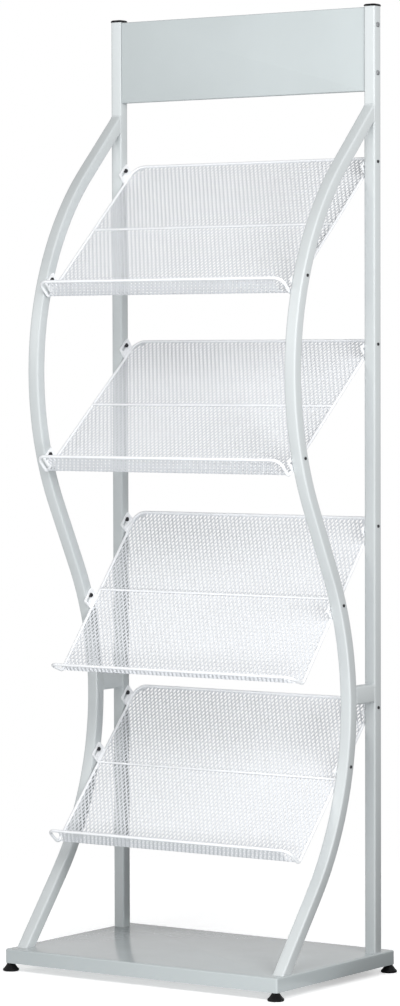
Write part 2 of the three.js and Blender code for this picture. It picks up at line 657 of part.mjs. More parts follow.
// Diamonds in staggered rows over a rectangle, for the openings of a mesh sheet
function diamonds(width, bottom, top, columns, rows) {
  const pitchX = (width - 2 * MESH_MARGIN) / columns;
  const pitchY = (top - bottom - 2 * MESH_MARGIN) / (rows + 1);
  const inside = (pitchX * pitchY) / Math.hypot(pitchX, 2 * pitchY);
  const share = 1 - MESH_STRAND / 2 / inside;
  const [a, b] = [(share * pitchX) / 2, share * pitchY];
  const shapes = [];
  for (let row = 0; row < rows; row++) {
    const count = columns - (row % 2);
    const y = bottom + MESH_MARGIN + pitchY * (row + 1);
    for (let i = 0; i < count; i++) {
      const x = pitchX * (i - (count - 1) / 2);
      const points = [[x + a, y], [x, y + b], [x - a, y], [x, y - b]];
      shapes.push(new THREE.Shape(points.map(([u, v]) => new THREE.Vector2(u, v))));
    }
  }
  return shapes;
}

// A mesh sheet from bottom to top in its own plane, with its two upper corners rounded
function meshSheet(bottom, top, corner, columns, rows) {
  const inner = corner - WIRE / 2 - FIT;
  const shape = new THREE.Shape();
  shape.moveTo(-MESH_X, bottom);
  shape.lineTo(MESH_X, bottom);
  shape.absarc(MESH_X - inner, top - inner, inner, 0, Math.PI / 2);
  shape.absarc(inner - MESH_X, top - inner, inner, Math.PI / 2, Math.PI);
  const sheet = prism(shape, -MESH_SHEET / 2, MESH_SHEET / 2, SLOT_STEPS);
  const openings = diamonds(2 * MESH_X, bottom, top, columns, rows);
  return cut(sheet, openings.map((diamond) => prism(diamond, -MESH_SHEET, MESH_SHEET)));
}

function tray({ name, boltZ, slope, lipAngle }) {
  const group = new THREE.Group();
  group.position.set(0, UPRIGHT_Y, boltZ);
  group.rotation.x = slope;
  rack.add(group);
  const edge = WIRE / 2 + FIT;
  const deck = meshSheet(FOLD_Y + MESH_SHEET / 2 + FIT, REAR_Y - edge, REAR_CORNER, MESH_COLUMNS, MESH_ROWS);
  add(group, `${name}_deck`, deck.translate(0, 0, DECK_Z), whiteCoat);
  const lip = meshSheet(-MESH_SHEET / 2, LIP_HEIGHT - edge, LIP_CORNER, MESH_COLUMNS, 1);
  const lipMesh = add(group, `${name}_lip`, lip, whiteCoat);
  lipMesh.position.set(0, FOLD_Y, DECK_Z);
  lipMesh.rotation.x = lipAngle;
  const front = frontBolt({ boltZ, slope });
  add(group, `${name}_frame`, trayFrame(front.span, lipAngle), whiteCoat);
  const middleZ = DECK_Z + MESH_SHEET / 2 + FIT + MIDDLE_WIRE / 2;
  const middle = rodAlongX(MIDDLE_WIRE, -MESH_X, MESH_X, (REAR_Y + FOLD_Y) / 2, middleZ, FASTENER_SIDES);
  add(group, `${name}_middle_wire`, middle, whiteCoat);
  for (const { side, sign } of SIDES) {
    const headX = sign * (TAB_INNER - FIT);
    const tipX = sign * (OUTER_FACE + TRAY_BOLT.tip);
    const rearBolt = boltAlongX(TRAY_BOLT, headX, tipX, UPRIGHT_Y, boltZ);
    const foreBolt = boltAlongX(TRAY_BOLT, headX, tipX, front.y, front.z);
    add(rack, `${name}_rear_${side}_bolt`, rearBolt, darkSteel);
    add(rack, `${name}_front_${side}_bolt`, foreBolt, darkSteel);
  }
}

TRAYS.forEach(tray);

export default rack;
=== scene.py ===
# %% [markdown]
# # A display rack for periodicals
# The rack stands in a library, a hotel lobby or a shop. Two side frames of square steel tube rise from
# a folded steel base, a plain header panel joins them at the top, and four sloping trays of perforated
# sheet hang between them in borders of round wire. This lesson loads the construction as a fixed frame,
# then gives every piece of it the surface that the eye expects: rounded tube corners, real holes in the
# sheet, welds, threads and paint.

# %% Load the frame
import json
import math

import bmesh
import bpy
import numpy as np
from mathutils import Matrix, Vector


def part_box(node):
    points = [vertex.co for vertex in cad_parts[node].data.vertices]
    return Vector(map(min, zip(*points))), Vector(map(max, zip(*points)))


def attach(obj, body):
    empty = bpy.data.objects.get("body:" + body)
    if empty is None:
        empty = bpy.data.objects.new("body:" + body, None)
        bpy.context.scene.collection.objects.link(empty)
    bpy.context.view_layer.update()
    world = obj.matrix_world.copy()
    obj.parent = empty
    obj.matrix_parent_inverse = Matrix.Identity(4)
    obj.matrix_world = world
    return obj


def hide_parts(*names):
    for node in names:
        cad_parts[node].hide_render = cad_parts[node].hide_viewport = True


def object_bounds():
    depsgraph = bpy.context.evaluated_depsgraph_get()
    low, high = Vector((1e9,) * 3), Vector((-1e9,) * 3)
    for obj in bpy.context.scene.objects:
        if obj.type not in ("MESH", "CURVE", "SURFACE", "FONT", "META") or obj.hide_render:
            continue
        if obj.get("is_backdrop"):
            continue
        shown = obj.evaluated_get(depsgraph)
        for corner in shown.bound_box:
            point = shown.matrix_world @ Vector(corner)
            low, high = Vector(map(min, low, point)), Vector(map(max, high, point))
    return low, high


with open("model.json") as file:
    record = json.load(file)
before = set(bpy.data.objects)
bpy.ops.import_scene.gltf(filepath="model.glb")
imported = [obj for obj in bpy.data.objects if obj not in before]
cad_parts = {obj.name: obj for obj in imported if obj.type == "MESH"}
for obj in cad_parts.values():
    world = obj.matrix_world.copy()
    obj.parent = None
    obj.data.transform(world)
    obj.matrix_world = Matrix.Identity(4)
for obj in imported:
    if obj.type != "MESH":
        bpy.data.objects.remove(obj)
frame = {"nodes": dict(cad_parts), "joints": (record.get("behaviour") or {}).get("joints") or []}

cad_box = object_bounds()
MM = 0.001
SIDES = {"left": -1, "right": 1}
TRAYS = ("top_tray", "upper_tray", "lower_tray", "bottom_tray")
CORNERS = [f"{end}_{side}" for end in ("front", "rear") for side in SIDES]


def centre(node):
    low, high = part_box(node)
    return (low + high) / 2


print("nodes in the frame:", len(frame["nodes"]), "box:", [list(corner) for corner in cad_box])

# %% [markdown]
# ## Camera
# The camera stands six metres away, in front and to the right, at the height of the upper tray. A long
# lens from far off keeps the uprights almost parallel, as product photographs do. Its three axes are
# written out as vectors because a rotation matrix made of "right, up, back" is easier to check than
# three Euler angles.

# %% Camera
CAMERA_AT = Vector((3.4688, -4.9540, 0.9926))
CAMERA_YAW = math.radians(34.973)
CAMERA_PITCH = math.radians(2.239)
CAMERA_ROLL = math.radians(-0.159)
CAMERA_LENS_MM = 134.92


def camera_axes():
    ahead = Vector((
        -math.sin(CAMERA_YAW) * math.cos(CAMERA_PITCH),
        math.cos(CAMERA_YAW) * math.cos(CAMERA_PITCH),
        -math.sin(CAMERA_PITCH),
    ))
    level = Vector((math.cos(CAMERA_YAW), math.sin(CAMERA_YAW), 0))
    upward = level.cross(ahead)
    right = level * math.cos(CAMERA_ROLL) + upward * math.sin(CAMERA_ROLL)
    up = upward * math.cos(CAMERA_ROLL) - level * math.sin(CAMERA_ROLL)
    return right, up, -ahead


camera = bpy.data.objects.new("camera", bpy.data.cameras.new("camera"))
camera.data.lens = CAMERA_LENS_MM
camera.matrix_world = Matrix.Translation(CAMERA_AT) @ Matrix(camera_axes()).transposed().to_4x4()
bpy.context.collection.objects.link(camera)
bpy.context.scene.camera = camera
print("camera to rack:", round(CAMERA_AT.length, 2), "m")

# %% [markdown]
# ## Shader arithmetic
# A material is a graph of nodes, and most of its links are plain sums and products. Wrapping an output
# in a small class lets the graph be written as Python expressions: `1 - mask` adds a Math node by
# itself. One method makes every other kind of node, so that each finish below reads like a recipe.

# %% Shader arithmetic
MIX_A, MIX_B, MIX_COLOUR = 6, 7, 2


class Signal:
    """One output of a node in a tree, which takes part in arithmetic."""

    def __init__(self, tree, output=None):
        self.tree = tree
        self.output = output

    def node(self, kind, settings, inputs, output=0):
        """Adds a node, sets it up, fills its sockets with values or links, and gives one of its outputs."""
        made = self.tree.nodes.new("ShaderNode" + kind)
        for name, value in settings.items():
            if name == "stops":
                for stop, (place, shade) in zip(made.color_ramp.elements, value):
                    stop.position = place
                    stop.color = (shade, shade, shade, 1)
            else:
                setattr(made, name, value)
        for name, value in inputs.items():
            if isinstance(value, Signal):
                self.tree.links.new(value.output, made.inputs[name])
            else:
                made.inputs[name].default_value = value
        return Signal(self.tree, made.outputs[output] if made.outputs else None)

    def math(self, operation, first, second):
        return self.node("Math", {"operation": operation}, {0: first, 1: second})

    def __add__(self, other):
        return self.math("ADD", self, other)

    __radd__ = __add__

    def __sub__(self, other):
        return self.math("SUBTRACT", self, other)

    def __rsub__(self, other):
        return self.math("SUBTRACT", other, self)

    def __mul__(self, other):
        return self.math("MULTIPLY", self, other)

    __rmul__ = __mul__


def colour(red, green, blue):
    return (red, green, blue, 1)


def tinted(shade, factor):
    return colour(*(min(1, channel * factor) for channel in shade[:3]))


def new_finish(name):
    """An empty material, with a signal that carries the point's place on its own piece."""
    material = bpy.data.materials.new(name)
    material.use_nodes = True
    material.node_tree.nodes.clear()
    place = Signal(material.node_tree).node("TexCoord", {}, {}, "Object")
    return material, place


def noise(place, scale, detail=2):
    return place.node("TexNoise", {}, {"Vector": place, "Scale": scale, "Detail": detail})


def blend(place, mask, first, second):
    inputs = {0: mask, MIX_A: first, MIX_B: second}
    return place.node("Mix", {"data_type": "RGBA"}, inputs, MIX_COLOUR)


def bump(place, height, distance, strength):
    return place.node("Bump", {}, {"Height": height, "Distance": distance, "Strength": strength})


def cover(place, **sockets):
    """Ends a finish in one Principled shader."""
    inputs = {name.replace("_", " "): value for name, value in sockets.items()}
    surface = place.node("BsdfPrincipled", {}, inputs)
    place.node("OutputMaterial", {}, {"Surface": surface})


print("steps of a finish:", [step.__name__ for step in (new_finish, noise, blend, bump, cover)])

# %% [markdown]
# ## Powder coat
# The tubes, base, header and trays are sprayed with dry powder and baked. The skin that forms has a
# faint "orange peel", is a little thicker and duller in some places than in others, and draws thin over
# sharp edges. Those edges are painted lighter, partly for the thin coat and partly as a painted highlight
# that the edges would catch. Those three facts are three noise or geometry signals; the finishes then
# differ only in colour, gloss, metal flake and how strong the peel is.

# %% Powder coat
CLOUD_SCALE, CLOUD_DETAIL = 9, 3
CLOUD_DARK, CLOUD_LIGHT = 0.94, 1.05
CLOUD_RELIEF = 0.4
PEEL_SCALE, PEEL_DEPTH = 1100, 0.00012
SHEEN_DRIFT, SHEEN_GRAIN = 0.12, 0.06
# How much lighter outer edges are painted: partly thin coat, partly a painted highlight
THIN_COAT_AND_HIGHLIGHT_SHARE, THIN_COAT_AND_HIGHLIGHT_TINT = 0.35, 1.16
CLEAR_ROUGHNESS = 0.12


def outer_edges(place, start, full):
    """A mask that is white where the surface bends outwards."""
    bend = place.node("NewGeometry", {}, {}, "Pointiness")
    return place.node("ValToRGB", {"stops": ((start, 0.0), (full, 1.0))}, {"Fac": bend})


def powder_coat(name, shade, roughness, peel, coat, metallic=0.0):
    material, place = new_finish(name)
    cloud = noise(place, CLOUD_SCALE, CLOUD_DETAIL)
    grain = noise(place, PEEL_SCALE)
    edge = outer_edges(place, start=0.51, full=0.58)
    body = blend(place, cloud, tinted(shade, CLOUD_DARK), tinted(shade, CLOUD_LIGHT))
    cover(
        place,
        # Outer edges painted lighter: partly thin coat, partly a painted highlight
        Base_Color=blend(place, edge * THIN_COAT_AND_HIGHLIGHT_SHARE, body, tinted(shade, THIN_COAT_AND_HIGHLIGHT_TINT)),
        Roughness=roughness + (cloud - 0.5) * SHEEN_DRIFT + (grain - 0.5) * SHEEN_GRAIN,
        Metallic=metallic,
        Coat_Weight=coat,
        Coat_Roughness=CLEAR_ROUGHNESS,
        Normal=bump(place, grain + cloud * CLOUD_RELIEF, PEEL_DEPTH, peel),
    )
    return material


silver_coat = powder_coat(
    "silver_powder_coat", colour(0.61, 0.64, 0.645), roughness=0.38, peel=0.30, coat=0.06, metallic=0.25
)
base_coat = powder_coat(
    "base_powder_coat", colour(0.465, 0.503, 0.51), roughness=0.19, peel=0.10, coat=0.35, metallic=0.1
)
header_coat = powder_coat(
    "header_powder_coat", colour(0.495, 0.535, 0.54), roughness=0.50, peel=0.30, coat=0.03, metallic=0.05
)
white_coat = powder_coat(
    "white_powder_coat", colour(0.73, 0.745, 0.77), roughness=0.42, peel=0.35, coat=0.2
)
# The wires wear the same white coat as the sheets; theirs is painted lighter, a painted highlight for the light
# their round tops catch
wire_coat_painted_lighter = powder_coat(
    "wire_powder_coat_painted_lighter", colour(0.86, 0.87, 0.89), roughness=0.36, peel=0.35, coat=0.2
)
print("powder coats: silver, base, header, white, wire")

# %% [markdown]
# ## Moulded black, blackened steel, zinc
# The caps and feet are moulded polymer with a fine stipple from the mould. The tray bolts are steel
# with a black oxide skin that has rubbed through a little, and the header screws and foot stems are
# zinc plated, with the milky, slightly blue bloom that plating has.

# %% Moulded black, blackened steel, zinc
MOULDED_ROUGHNESS, STIPPLE_GRAIN = 0.20, 0.14
STIPPLE_SCALE, STIPPLE_DEPTH, STIPPLE_STRENGTH = 2600, 0.00006, 0.4
DUST_SCALE, DUST_DETAIL = 40, 4
BLOOM_SCALE, BLOOM_DETAIL, BLOOM_DRIFT = 260, 4, 0.2
SCRATCH_SCALE, SCRATCH_DEPTH, SCRATCH_STRENGTH = 1900, 0.00004, 0.3
RUBBED_SHARE, RUBBED_TINT = 0.5, 1.4


def moulded_black():
    material, place = new_finish("moulded_black")
    stipple = noise(place, STIPPLE_SCALE)
    dust = noise(place, DUST_SCALE, DUST_DETAIL)
    cover(
        place,
        Base_Color=blend(place, dust, colour(0.003, 0.003, 0.0035), colour(0.009, 0.009, 0.0095)),
        Roughness=MOULDED_ROUGHNESS + stipple * STIPPLE_GRAIN,
        Specular_IOR_Level=0.16,
        Normal=bump(place, stipple, STIPPLE_DEPTH, STIPPLE_STRENGTH),
    )
    return material


def plated_steel(name, dark, light, roughness, metallic):
    material, place = new_finish(name)
    bloom = noise(place, BLOOM_SCALE, BLOOM_DETAIL)
    scratch = noise(place, SCRATCH_SCALE)
    edge = outer_edges(place, start=0.52, full=0.60)
    skin = blend(place, bloom, dark, light)
    cover(
        place,
        Base_Color=blend(place, edge * RUBBED_SHARE, skin, tinted(light, RUBBED_TINT)),
        Roughness=roughness + (bloom - 0.5) * BLOOM_DRIFT,
        Metallic=metallic,
        Normal=bump(place, scratch, SCRATCH_DEPTH, SCRATCH_STRENGTH),
    )
    return material


black_plastic = moulded_black()
oxide_shades = colour(0.03, 0.03, 0.034), colour(0.075, 0.075, 0.08)
zinc_shades = colour(0.34, 0.35, 0.37), colour(0.46, 0.47, 0.48)
dark_steel = plated_steel("blackened_steel", *oxide_shades, roughness=0.42, metallic=0.85)
bright_zinc = plated_steel("zinc_plate", *zinc_shades, roughness=0.36, metallic=0.9)
print("finishes:", [m.name for m in bpy.data.materials if m.node_tree and "coat" not in m.name])

# %% [markdown]
# ## Skins through rings
# Nearly every piece of this rack is a section carried along a line: a tube, a wire, a folded pan, a
# turned foot. So one function joins rings of points into a skin, and the rest of the lesson only
# decides where the rings lie. Modelling by hand with extrude and bevel would give the same shapes;
# rings keep every size in one readable place.

# %% Skins through rings
CORNER_STEPS = 6
SHARP_EDGE = math.radians(38)


def loft(rings, loop=False):
    """Points and faces of the skin through rings of equal length, closed at its ends unless it loops."""
    rings = np.asarray(rings, float)
    count, size = rings.shape[:2]
    index = np.arange(count * size).reshape(count, size)
    here = index if loop else index[:-1]
    there = np.roll(index, -1, axis=0) if loop else index[1:]
    corners = (here, np.roll(here, -1, axis=1), np.roll(there, -1, axis=1), there)
    faces = np.stack(corners, axis=-1).reshape(-1, 4).tolist()
    if not loop:
        faces += [index[0, ::-1].tolist(), index[-1].tolist()]
    return rings.reshape(-1, 3), faces


def together(*skins):
    """Several skins as the islands of one."""
    points, faces, start = [], [], 0
    for skin_points, skin_faces in skins:
        points.append(skin_points)
        faces += [[start + i for i in face] for face in skin_faces]
        start += len(skin_points)
    return np.concatenate(points), faces


def piece(name, skin, finish, body, slot, *nodes):
    """A mesh object that moves with a body, takes a finish and stands for nodes of the frame; its slot is not
    used.
    """
    points, faces = skin
    mesh = bpy.data.meshes.new(name)
    mesh.from_pydata(np.asarray(points).tolist(), [], faces)
    shape = bmesh.new()
    shape.from_mesh(mesh)
    bmesh.ops.recalc_face_normals(shape, faces=shape.faces)
    shape.to_mesh(mesh)
    shape.free()
    mesh.materials.append(finish)
    mesh.shade_smooth()
    mesh.set_sharp_from_angle(angle=SHARP_EDGE)
    made = bpy.data.objects.new(name, mesh)
    bpy.context.collection.objects.link(made)
    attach(made, body)
    if nodes:
        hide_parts(*nodes)
    return made


def rounded(width, height, radius, steps=CORNER_STEPS):
    """A rectangle with round corners about the origin, as points that run anticlockwise."""
    turn = np.linspace(0, np.pi / 2, steps + 1)
    quarters = []
    for quarter, (side, level) in enumerate(((1, 1), (-1, 1), (-1, -1), (1, -1))):
        angle = turn + quarter * np.pi / 2
        across = side * (width / 2 - radius) + radius * np.cos(angle)
        along = level * (height / 2 - radius) + radius * np.sin(angle)
        quarters.append(np.column_stack([across, along]))
    return np.concatenate(quarters)


def wire(line, radius, sides, loop=False):
    """A round section carried along a line of points, with the twist of a closed line spread evenly."""
    line = np.asarray(line, float)
    if loop:
        ahead = np.roll(line, -1, axis=0) - np.roll(line, 1, axis=0)
    else:
        ahead = np.gradient(line, axis=0)
    ahead /= np.linalg.norm(ahead, axis=1, keepdims=True)
    radius = np.broadcast_to(radius, len(line))
    start = np.eye(3)[np.argmin(np.abs(ahead[0]))]
    normals = []
    for direction in [*ahead, ahead[0]]:
        start = start - direction * (start @ direction)
        start = start / np.linalg.norm(start)
        normals.append(start)
    closing = 0
    if loop:
        sine = np.cross(normals[-1], normals[0]) @ ahead[0]
        closing = np.arctan2(sine, normals[-1] @ normals[0])
    turn = np.arange(sides) * 2 * np.pi / sides
    rings = []
    for i, (at, direction) in enumerate(zip(line, ahead)):
        side = np.cross(direction, normals[i])
        angle = turn + closing * i / len(line)
        ring = np.outer(np.cos(angle), normals[i]) + np.outer(np.sin(angle), side)
        rings.append(at + radius[i] * ring)
    return loft(rings, loop)


print("points round a rounded section:", 4 * (CORNER_STEPS + 1))

# %% [markdown]
# ## Welds
# The frames are welded by hand and then coated, so a bead shows as a soft rippled seam under the paint.
# A bead is a wire whose thickness swells and shrinks a little along its way, once for each puddle the
# welder left.

# %% Welds
BEAD_RIPPLE = 2.4 * MM
BEAD_SWELL = 0.14
BEAD_SIDES = 8
BEAD_STEP = 0.8 * MM
LEAST_POINTS = 4


def bead(line, radius, loop=False):
    line = np.asarray(line, float)
    steps = np.linalg.norm(np.diff(line, axis=0, prepend=line[:1]), axis=1)
    swell = 1 + BEAD_SWELL * np.sin(2 * np.pi * np.cumsum(steps) / BEAD_RIPPLE)
    return wire(line, radius * swell, BEAD_SIDES, loop)


def resampled(line, gap, loop=True):
    """Points at even gaps along a line."""
    line = np.asarray(line, float)
    if loop:
        line = np.vstack([line, line[:1]])
    reach = np.concatenate([[0], np.cumsum(np.linalg.norm(np.diff(line, axis=0), axis=1))])
    places = np.linspace(0, reach[-1], max(LEAST_POINTS, int(reach[-1] / gap)), endpoint=not loop)
    return np.column_stack([np.interp(places, reach, line[:, axis]) for axis in range(line.shape[1])])


print("rings along a bead: one every", BEAD_STEP / MM, "mm")

# %% [markdown]
# ## Side frames
# Each side is a straight upright, a front tube bent into an S, and a short brace where the S comes
# nearest to the upright. A tube bender works with one former, so both bends have one radius. The
# straights and leans below are the ones the frame was made with, and the radius follows from where the
# tube has to start and end.

# %% Side frames
TUBE_CORNER = 3 * MM
FOOT_LEAN, MIDDLE_LEAN, TOP_LEAN = (math.radians(lean) for lean in (39, 27.6, 45))
FOOT_STRAIGHT = 142 * MM
MIDDLE_STRAIGHT = 115 * MM
JOIN_DROP = 36 * MM
BEND_STEP = math.radians(1.5)
BRACE_SIDE_GAP = 0.3 * MM
BRACE_BITE = 2.5 * MM
JOIN_BEAD, BRACE_BEAD = 1.6 * MM, 1.28 * MM
BEAD_INSET = 0.9 * MM
JOIN_BEAD_SINK = 0.5 * MM

upright_low, upright_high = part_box("left_upright")
TUBE = upright_high.x - upright_low.x
BASE_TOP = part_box("base_pan")[1].z
JOIN_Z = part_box("header_panel")[0].z - JOIN_DROP
UPRIGHT_FRONT = upright_low.y
FOOT_Y = centre("front_left_base_bolt").y


def bend_radius():
    """The radius with which the tube runs from its foot to where it meets the upright."""
    reach = UPRIGHT_FRONT - FOOT_Y
    reach += MIDDLE_STRAIGHT * math.sin(MIDDLE_LEAN) - FOOT_STRAIGHT * math.sin(FOOT_LEAN)
    rise = JOIN_Z - BASE_TOP
    rise -= MIDDLE_STRAIGHT * math.cos(MIDDLE_LEAN) + FOOT_STRAIGHT * math.cos(FOOT_LEAN)
    reach_share = 2 * math.cos(MIDDLE_LEAN) - math.cos(FOOT_LEAN) - math.cos(TOP_LEAN)
    rise_share = math.sin(FOOT_LEAN) + 2 * math.sin(MIDDLE_LEAN) + math.sin(TOP_LEAN)
    slope = math.tan(TOP_LEAN)
    return (rise * slope - reach) / (rise_share * slope - reach_share)


BEND = bend_radius()


def on_circle(middle, radius, angle):
    return np.column_stack([middle[0] + radius * np.cos(angle), middle[1] + radius * np.sin(angle)])


bend_start = (
    FOOT_Y + FOOT_STRAIGHT * math.sin(FOOT_LEAN),
    BASE_TOP + FOOT_STRAIGHT * math.cos(FOOT_LEAN),
)
WAIST = on_circle(bend_start, BEND, math.pi - FOOT_LEAN)[0]
BULGE = on_circle(WAIST, 2 * BEND, MIDDLE_LEAN)[0]
BULGE = BULGE + MIDDLE_STRAIGHT * np.array([-math.sin(MIDDLE_LEAN), math.cos(MIDDLE_LEAN)])


def s_line():
    """The front tube's centre line as (y, z) points, with the direction of travel at each."""
    waist_steps = round((FOOT_LEAN + MIDDLE_LEAN) / BEND_STEP)
    waist = np.linspace(-FOOT_LEAN, MIDDLE_LEAN, waist_steps)
    bulge_steps = round((MIDDLE_LEAN + TOP_LEAN) / BEND_STEP)
    bulge = np.linspace(math.pi + MIDDLE_LEAN, math.pi - TOP_LEAN, bulge_steps)
    points = np.vstack([
        [FOOT_Y, BASE_TOP],
        on_circle(WAIST, BEND, waist),
        on_circle(BULGE, BEND, bulge),
        [UPRIGHT_FRONT, JOIN_Z],
    ])
    leans = np.concatenate([[-FOOT_LEAN], waist, bulge - math.pi, [-TOP_LEAN]])
    return points, np.column_stack([-np.sin(leans), np.cos(leans)])


def front_tube_rings(x):
    section = rounded(TUBE, TUBE, TUBE_CORNER)
    points, headings = s_line()
    rings = []
    for i, (at, heading) in enumerate(zip(points, headings)):
        ring = at + np.outer(section[:, 1], (heading[1], -heading[0]))
        if i == 0:
            ring += np.outer((BASE_TOP - ring[:, 1]) / heading[1], heading)
        if i == len(points) - 1:
            ring += np.outer((UPRIGHT_FRONT - ring[:, 0]) / heading[0], heading)
        rings.append(np.column_stack([x + section[:, 0], ring]))
    return np.array(rings)


def upright_skin(x):
    y = (upright_low.y + upright_high.y) / 2
    section = rounded(TUBE, TUBE, TUBE_CORNER) + (x, y)
    levels = (upright_low.z, upright_high.z)
    return loft([np.column_stack([section, np.full(len(section), z)]) for z in levels])


def brace_skin(x, low, high):
    section = rounded(TUBE - 2 * BRACE_SIDE_GAP, high - low, TUBE_CORNER)
    z = (low + high) / 2 + section[:, 1]
    curve = WAIST[0] + np.sqrt((BEND + TUBE / 2) ** 2 - (z - WAIST[1]) ** 2) - BRACE_BITE
    return loft([np.column_stack([x + section[:, 0], y + 0 * z, z]) for y in (curve, UPRIGHT_FRONT)])


def seam_bead(ring, x, radius, sink=0.0):
    """A bead along a tube's end, a little in from the tube's sides so that it stays inside their width."""
    narrow = 1 - 2 * BEAD_INSET / TUBE
    line = (ring - (x, 0, 0)) * (narrow, 1, 1) + (x, sink, 0)
    return bead(resampled(line, BEAD_STEP), radius, True)


for side in SIDES:
    x = centre(f"{side}_upright").x
    piece(f"{side}_straight_tube", upright_skin(x), silver_coat, "stand", "silver_paint", f"{side}_upright")
    rings = front_tube_rings(x)
    piece(f"{side}_bent_tube", loft(rings), silver_coat, "stand", "silver_paint", f"{side}_front_tube")
    brace_low, brace_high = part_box(f"{side}_brace")
    brace = brace_skin(x, brace_low.z, brace_high.z)
    piece(f"{side}_brace_tube", brace, silver_coat, "stand", "silver_paint", f"{side}_brace")
    front_end, rear_end = np.split(brace[0], 2)
    welds = [
        seam_bead(rings[-1], x, JOIN_BEAD, JOIN_BEAD_SINK),
        seam_bead(front_end, x, BRACE_BEAD, BRACE_BITE),
        seam_bead(rear_end, x, BRACE_BEAD),
    ]
    piece(f"{side}_frame_welds", together(*welds), silver_coat, "stand", "silver_paint")

tube_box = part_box("left_front_tube")
print("bend radius:", round(BEND / MM, 1), "mm; front tube in the frame:", [tuple(c) for c in tube_box])

# %% [markdown]
# ## Folded pans
# The base and the header are each one sheet with its four sides folded over. A pan is a stack of
# rounded rectangles: down along the inside, round the raw edge, up the outside and over the fold. The
# base opens downwards and the header backwards, so the same rings are only turned.

# %% Folded pans
FOLD_STEPS = 4
BASE_SHEET, BASE_CORNER, BASE_FOLD = 1.5 * MM, 3 * MM, 2.5 * MM
HEADER_SHEET, HEADER_CORNER, HEADER_FOLD = 1 * MM, 1.6 * MM, 1.5 * MM
LEAST_CORNER = 0.4 * MM


def pan_rings(width, length, height, sheet, corner, fold):
    """Rings from the inner face to the outer one, in a frame where the pan opens towards zero height."""
    turn = np.linspace(0, np.pi / 2, FOLD_STEPS + 1)
    ceiling = height - sheet
    stack = [(fold + sheet / 2, ceiling), (sheet, ceiling - fold / 2), (sheet, 0), (0, 0)]
    stack += [(fold * (1 - math.cos(a)), height - fold * (1 - math.sin(a))) for a in turn]
    rings = []
    for inset, level in stack:
        radius = max(corner - inset, LEAST_CORNER)
        section = rounded(width - 2 * inset, length - 2 * inset, radius)
        rings.append(np.column_stack([section, np.full(len(section), level)]))
    return np.array(rings)


low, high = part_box("base_pan")
width, depth, height = high - low
base_rings = pan_rings(width, depth, height, BASE_SHEET, BASE_CORNER, BASE_FOLD)
base_rings += (*centre("base_pan").xy, low.z)
piece("base_sheet", loft(base_rings), base_coat, "stand", "base_paint", "base_pan")

low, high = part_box("header_panel")
width, depth, height = high - low
across, upward, forward = np.moveaxis(
    pan_rings(width, height, depth, HEADER_SHEET, HEADER_CORNER, HEADER_FOLD), -1, 0
)
header_rings = np.stack([across, -forward, upward], axis=-1)
header_rings += (centre("header_panel").x, high.y, centre("header_panel").z)
piece("header_sheet", loft(header_rings), header_coat, "stand", "header_paint", "header_panel")
print("base and header folded")

# %% [markdown]
# ## Turned and moulded small parts
# A turned piece is a stack of rings round an axis, and a ring need not be round: a hexagon or a cross
# makes the socket in a screw's head. `spun` builds the stack along any axis, so feet, bolts and screws
# share it.

# %% Turned and moulded small parts
ROUND = 36
LEAST_COSINE = 1e-6


def outline(shape, size, width=0.0):
    """Radii all the way round a circle, a hexagon across its flats or a cross with arms of some width."""
    angle = np.arange(ROUND) * 2 * np.pi / ROUND
    if shape == "hexagon":
        return size / 2 / np.cos((angle + np.pi / 6) % (np.pi / 3) - np.pi / 6)
    if shape == "cross":
        cos = np.maximum(np.abs(np.cos(angle)), LEAST_COSINE)
        sin = np.maximum(np.abs(np.sin(angle)), LEAST_COSINE)
        return np.maximum(
            np.minimum(width / 2 / cos, size / 2 / sin),
            np.minimum(size / 2 / cos, width / 2 / sin),
        )
    return np.full(ROUND, size / 2)


def spun(stack, origin, axis):
    """A skin through (distance along the axis, radii) pairs, from an origin."""
    axis = Vector(axis).normalized()
    across = axis.orthogonal().normalized()
    upward = axis.cross(across)
    angle = np.arange(ROUND) * 2 * np.pi / ROUND
    spokes = np.outer(np.cos(angle), across) + np.outer(np.sin(angle), upward)
    rings = []
    for along, radii in stack:
        radii = np.broadcast_to(radii, ROUND)
        rings.append(np.array(origin) + along * np.array(axis) + spokes * radii[:, None])
    return loft(rings)


print("points round a turned piece:", ROUND)

# %% [markdown]
# ## Bolts and screws
# The tray bolts go in from the inside, so their black button heads face the trays and their tips show
# as dark dots on the outer faces of the tubes. The header hangs on zinc pan-head screws driven in from
# outside. The base bolts are hexagon bolts that only someone lying on the floor would see.

# %% Bolts and screws
BUTTON_HEAD, BUTTON_SHANK = 2.8 * MM, 5 * MM
PAN_HEAD, PAN_SHANK = 2.4 * MM, 4 * MM
HEXAGON_HEAD, HEXAGON_FLATS, HEXAGON_SHANK = 4 * MM, 9.6 * MM, 6 * MM


def button_bolt(length, head):
    """From the floor of the socket, over the head and along the shank to the domed tip."""
    r, shank = head / 2, BUTTON_SHANK / 2
    return [
        (1.5 * MM, outline("hexagon", 3 * MM) * 0.98),
        (0.2 * MM, outline("hexagon", 3 * MM)),
        (0.0, outline("circle", 3.7 * MM)),
        (0.0, outline("circle", 4.2 * MM)),
        (0.35 * MM, r * 0.76),
        (0.95 * MM, r * 0.91),
        (1.7 * MM, r * 0.98),
        (2.4 * MM, r),
        (BUTTON_HEAD, r * 0.97),
        (BUTTON_HEAD, shank),
        (length - 1.3 * MM, shank),
        (length - 0.7 * MM, shank * 0.93),
        (length - 0.25 * MM, shank * 0.75),
        (length - 0.05 * MM, shank * 0.45),
        (length, shank * 0.2),
    ]


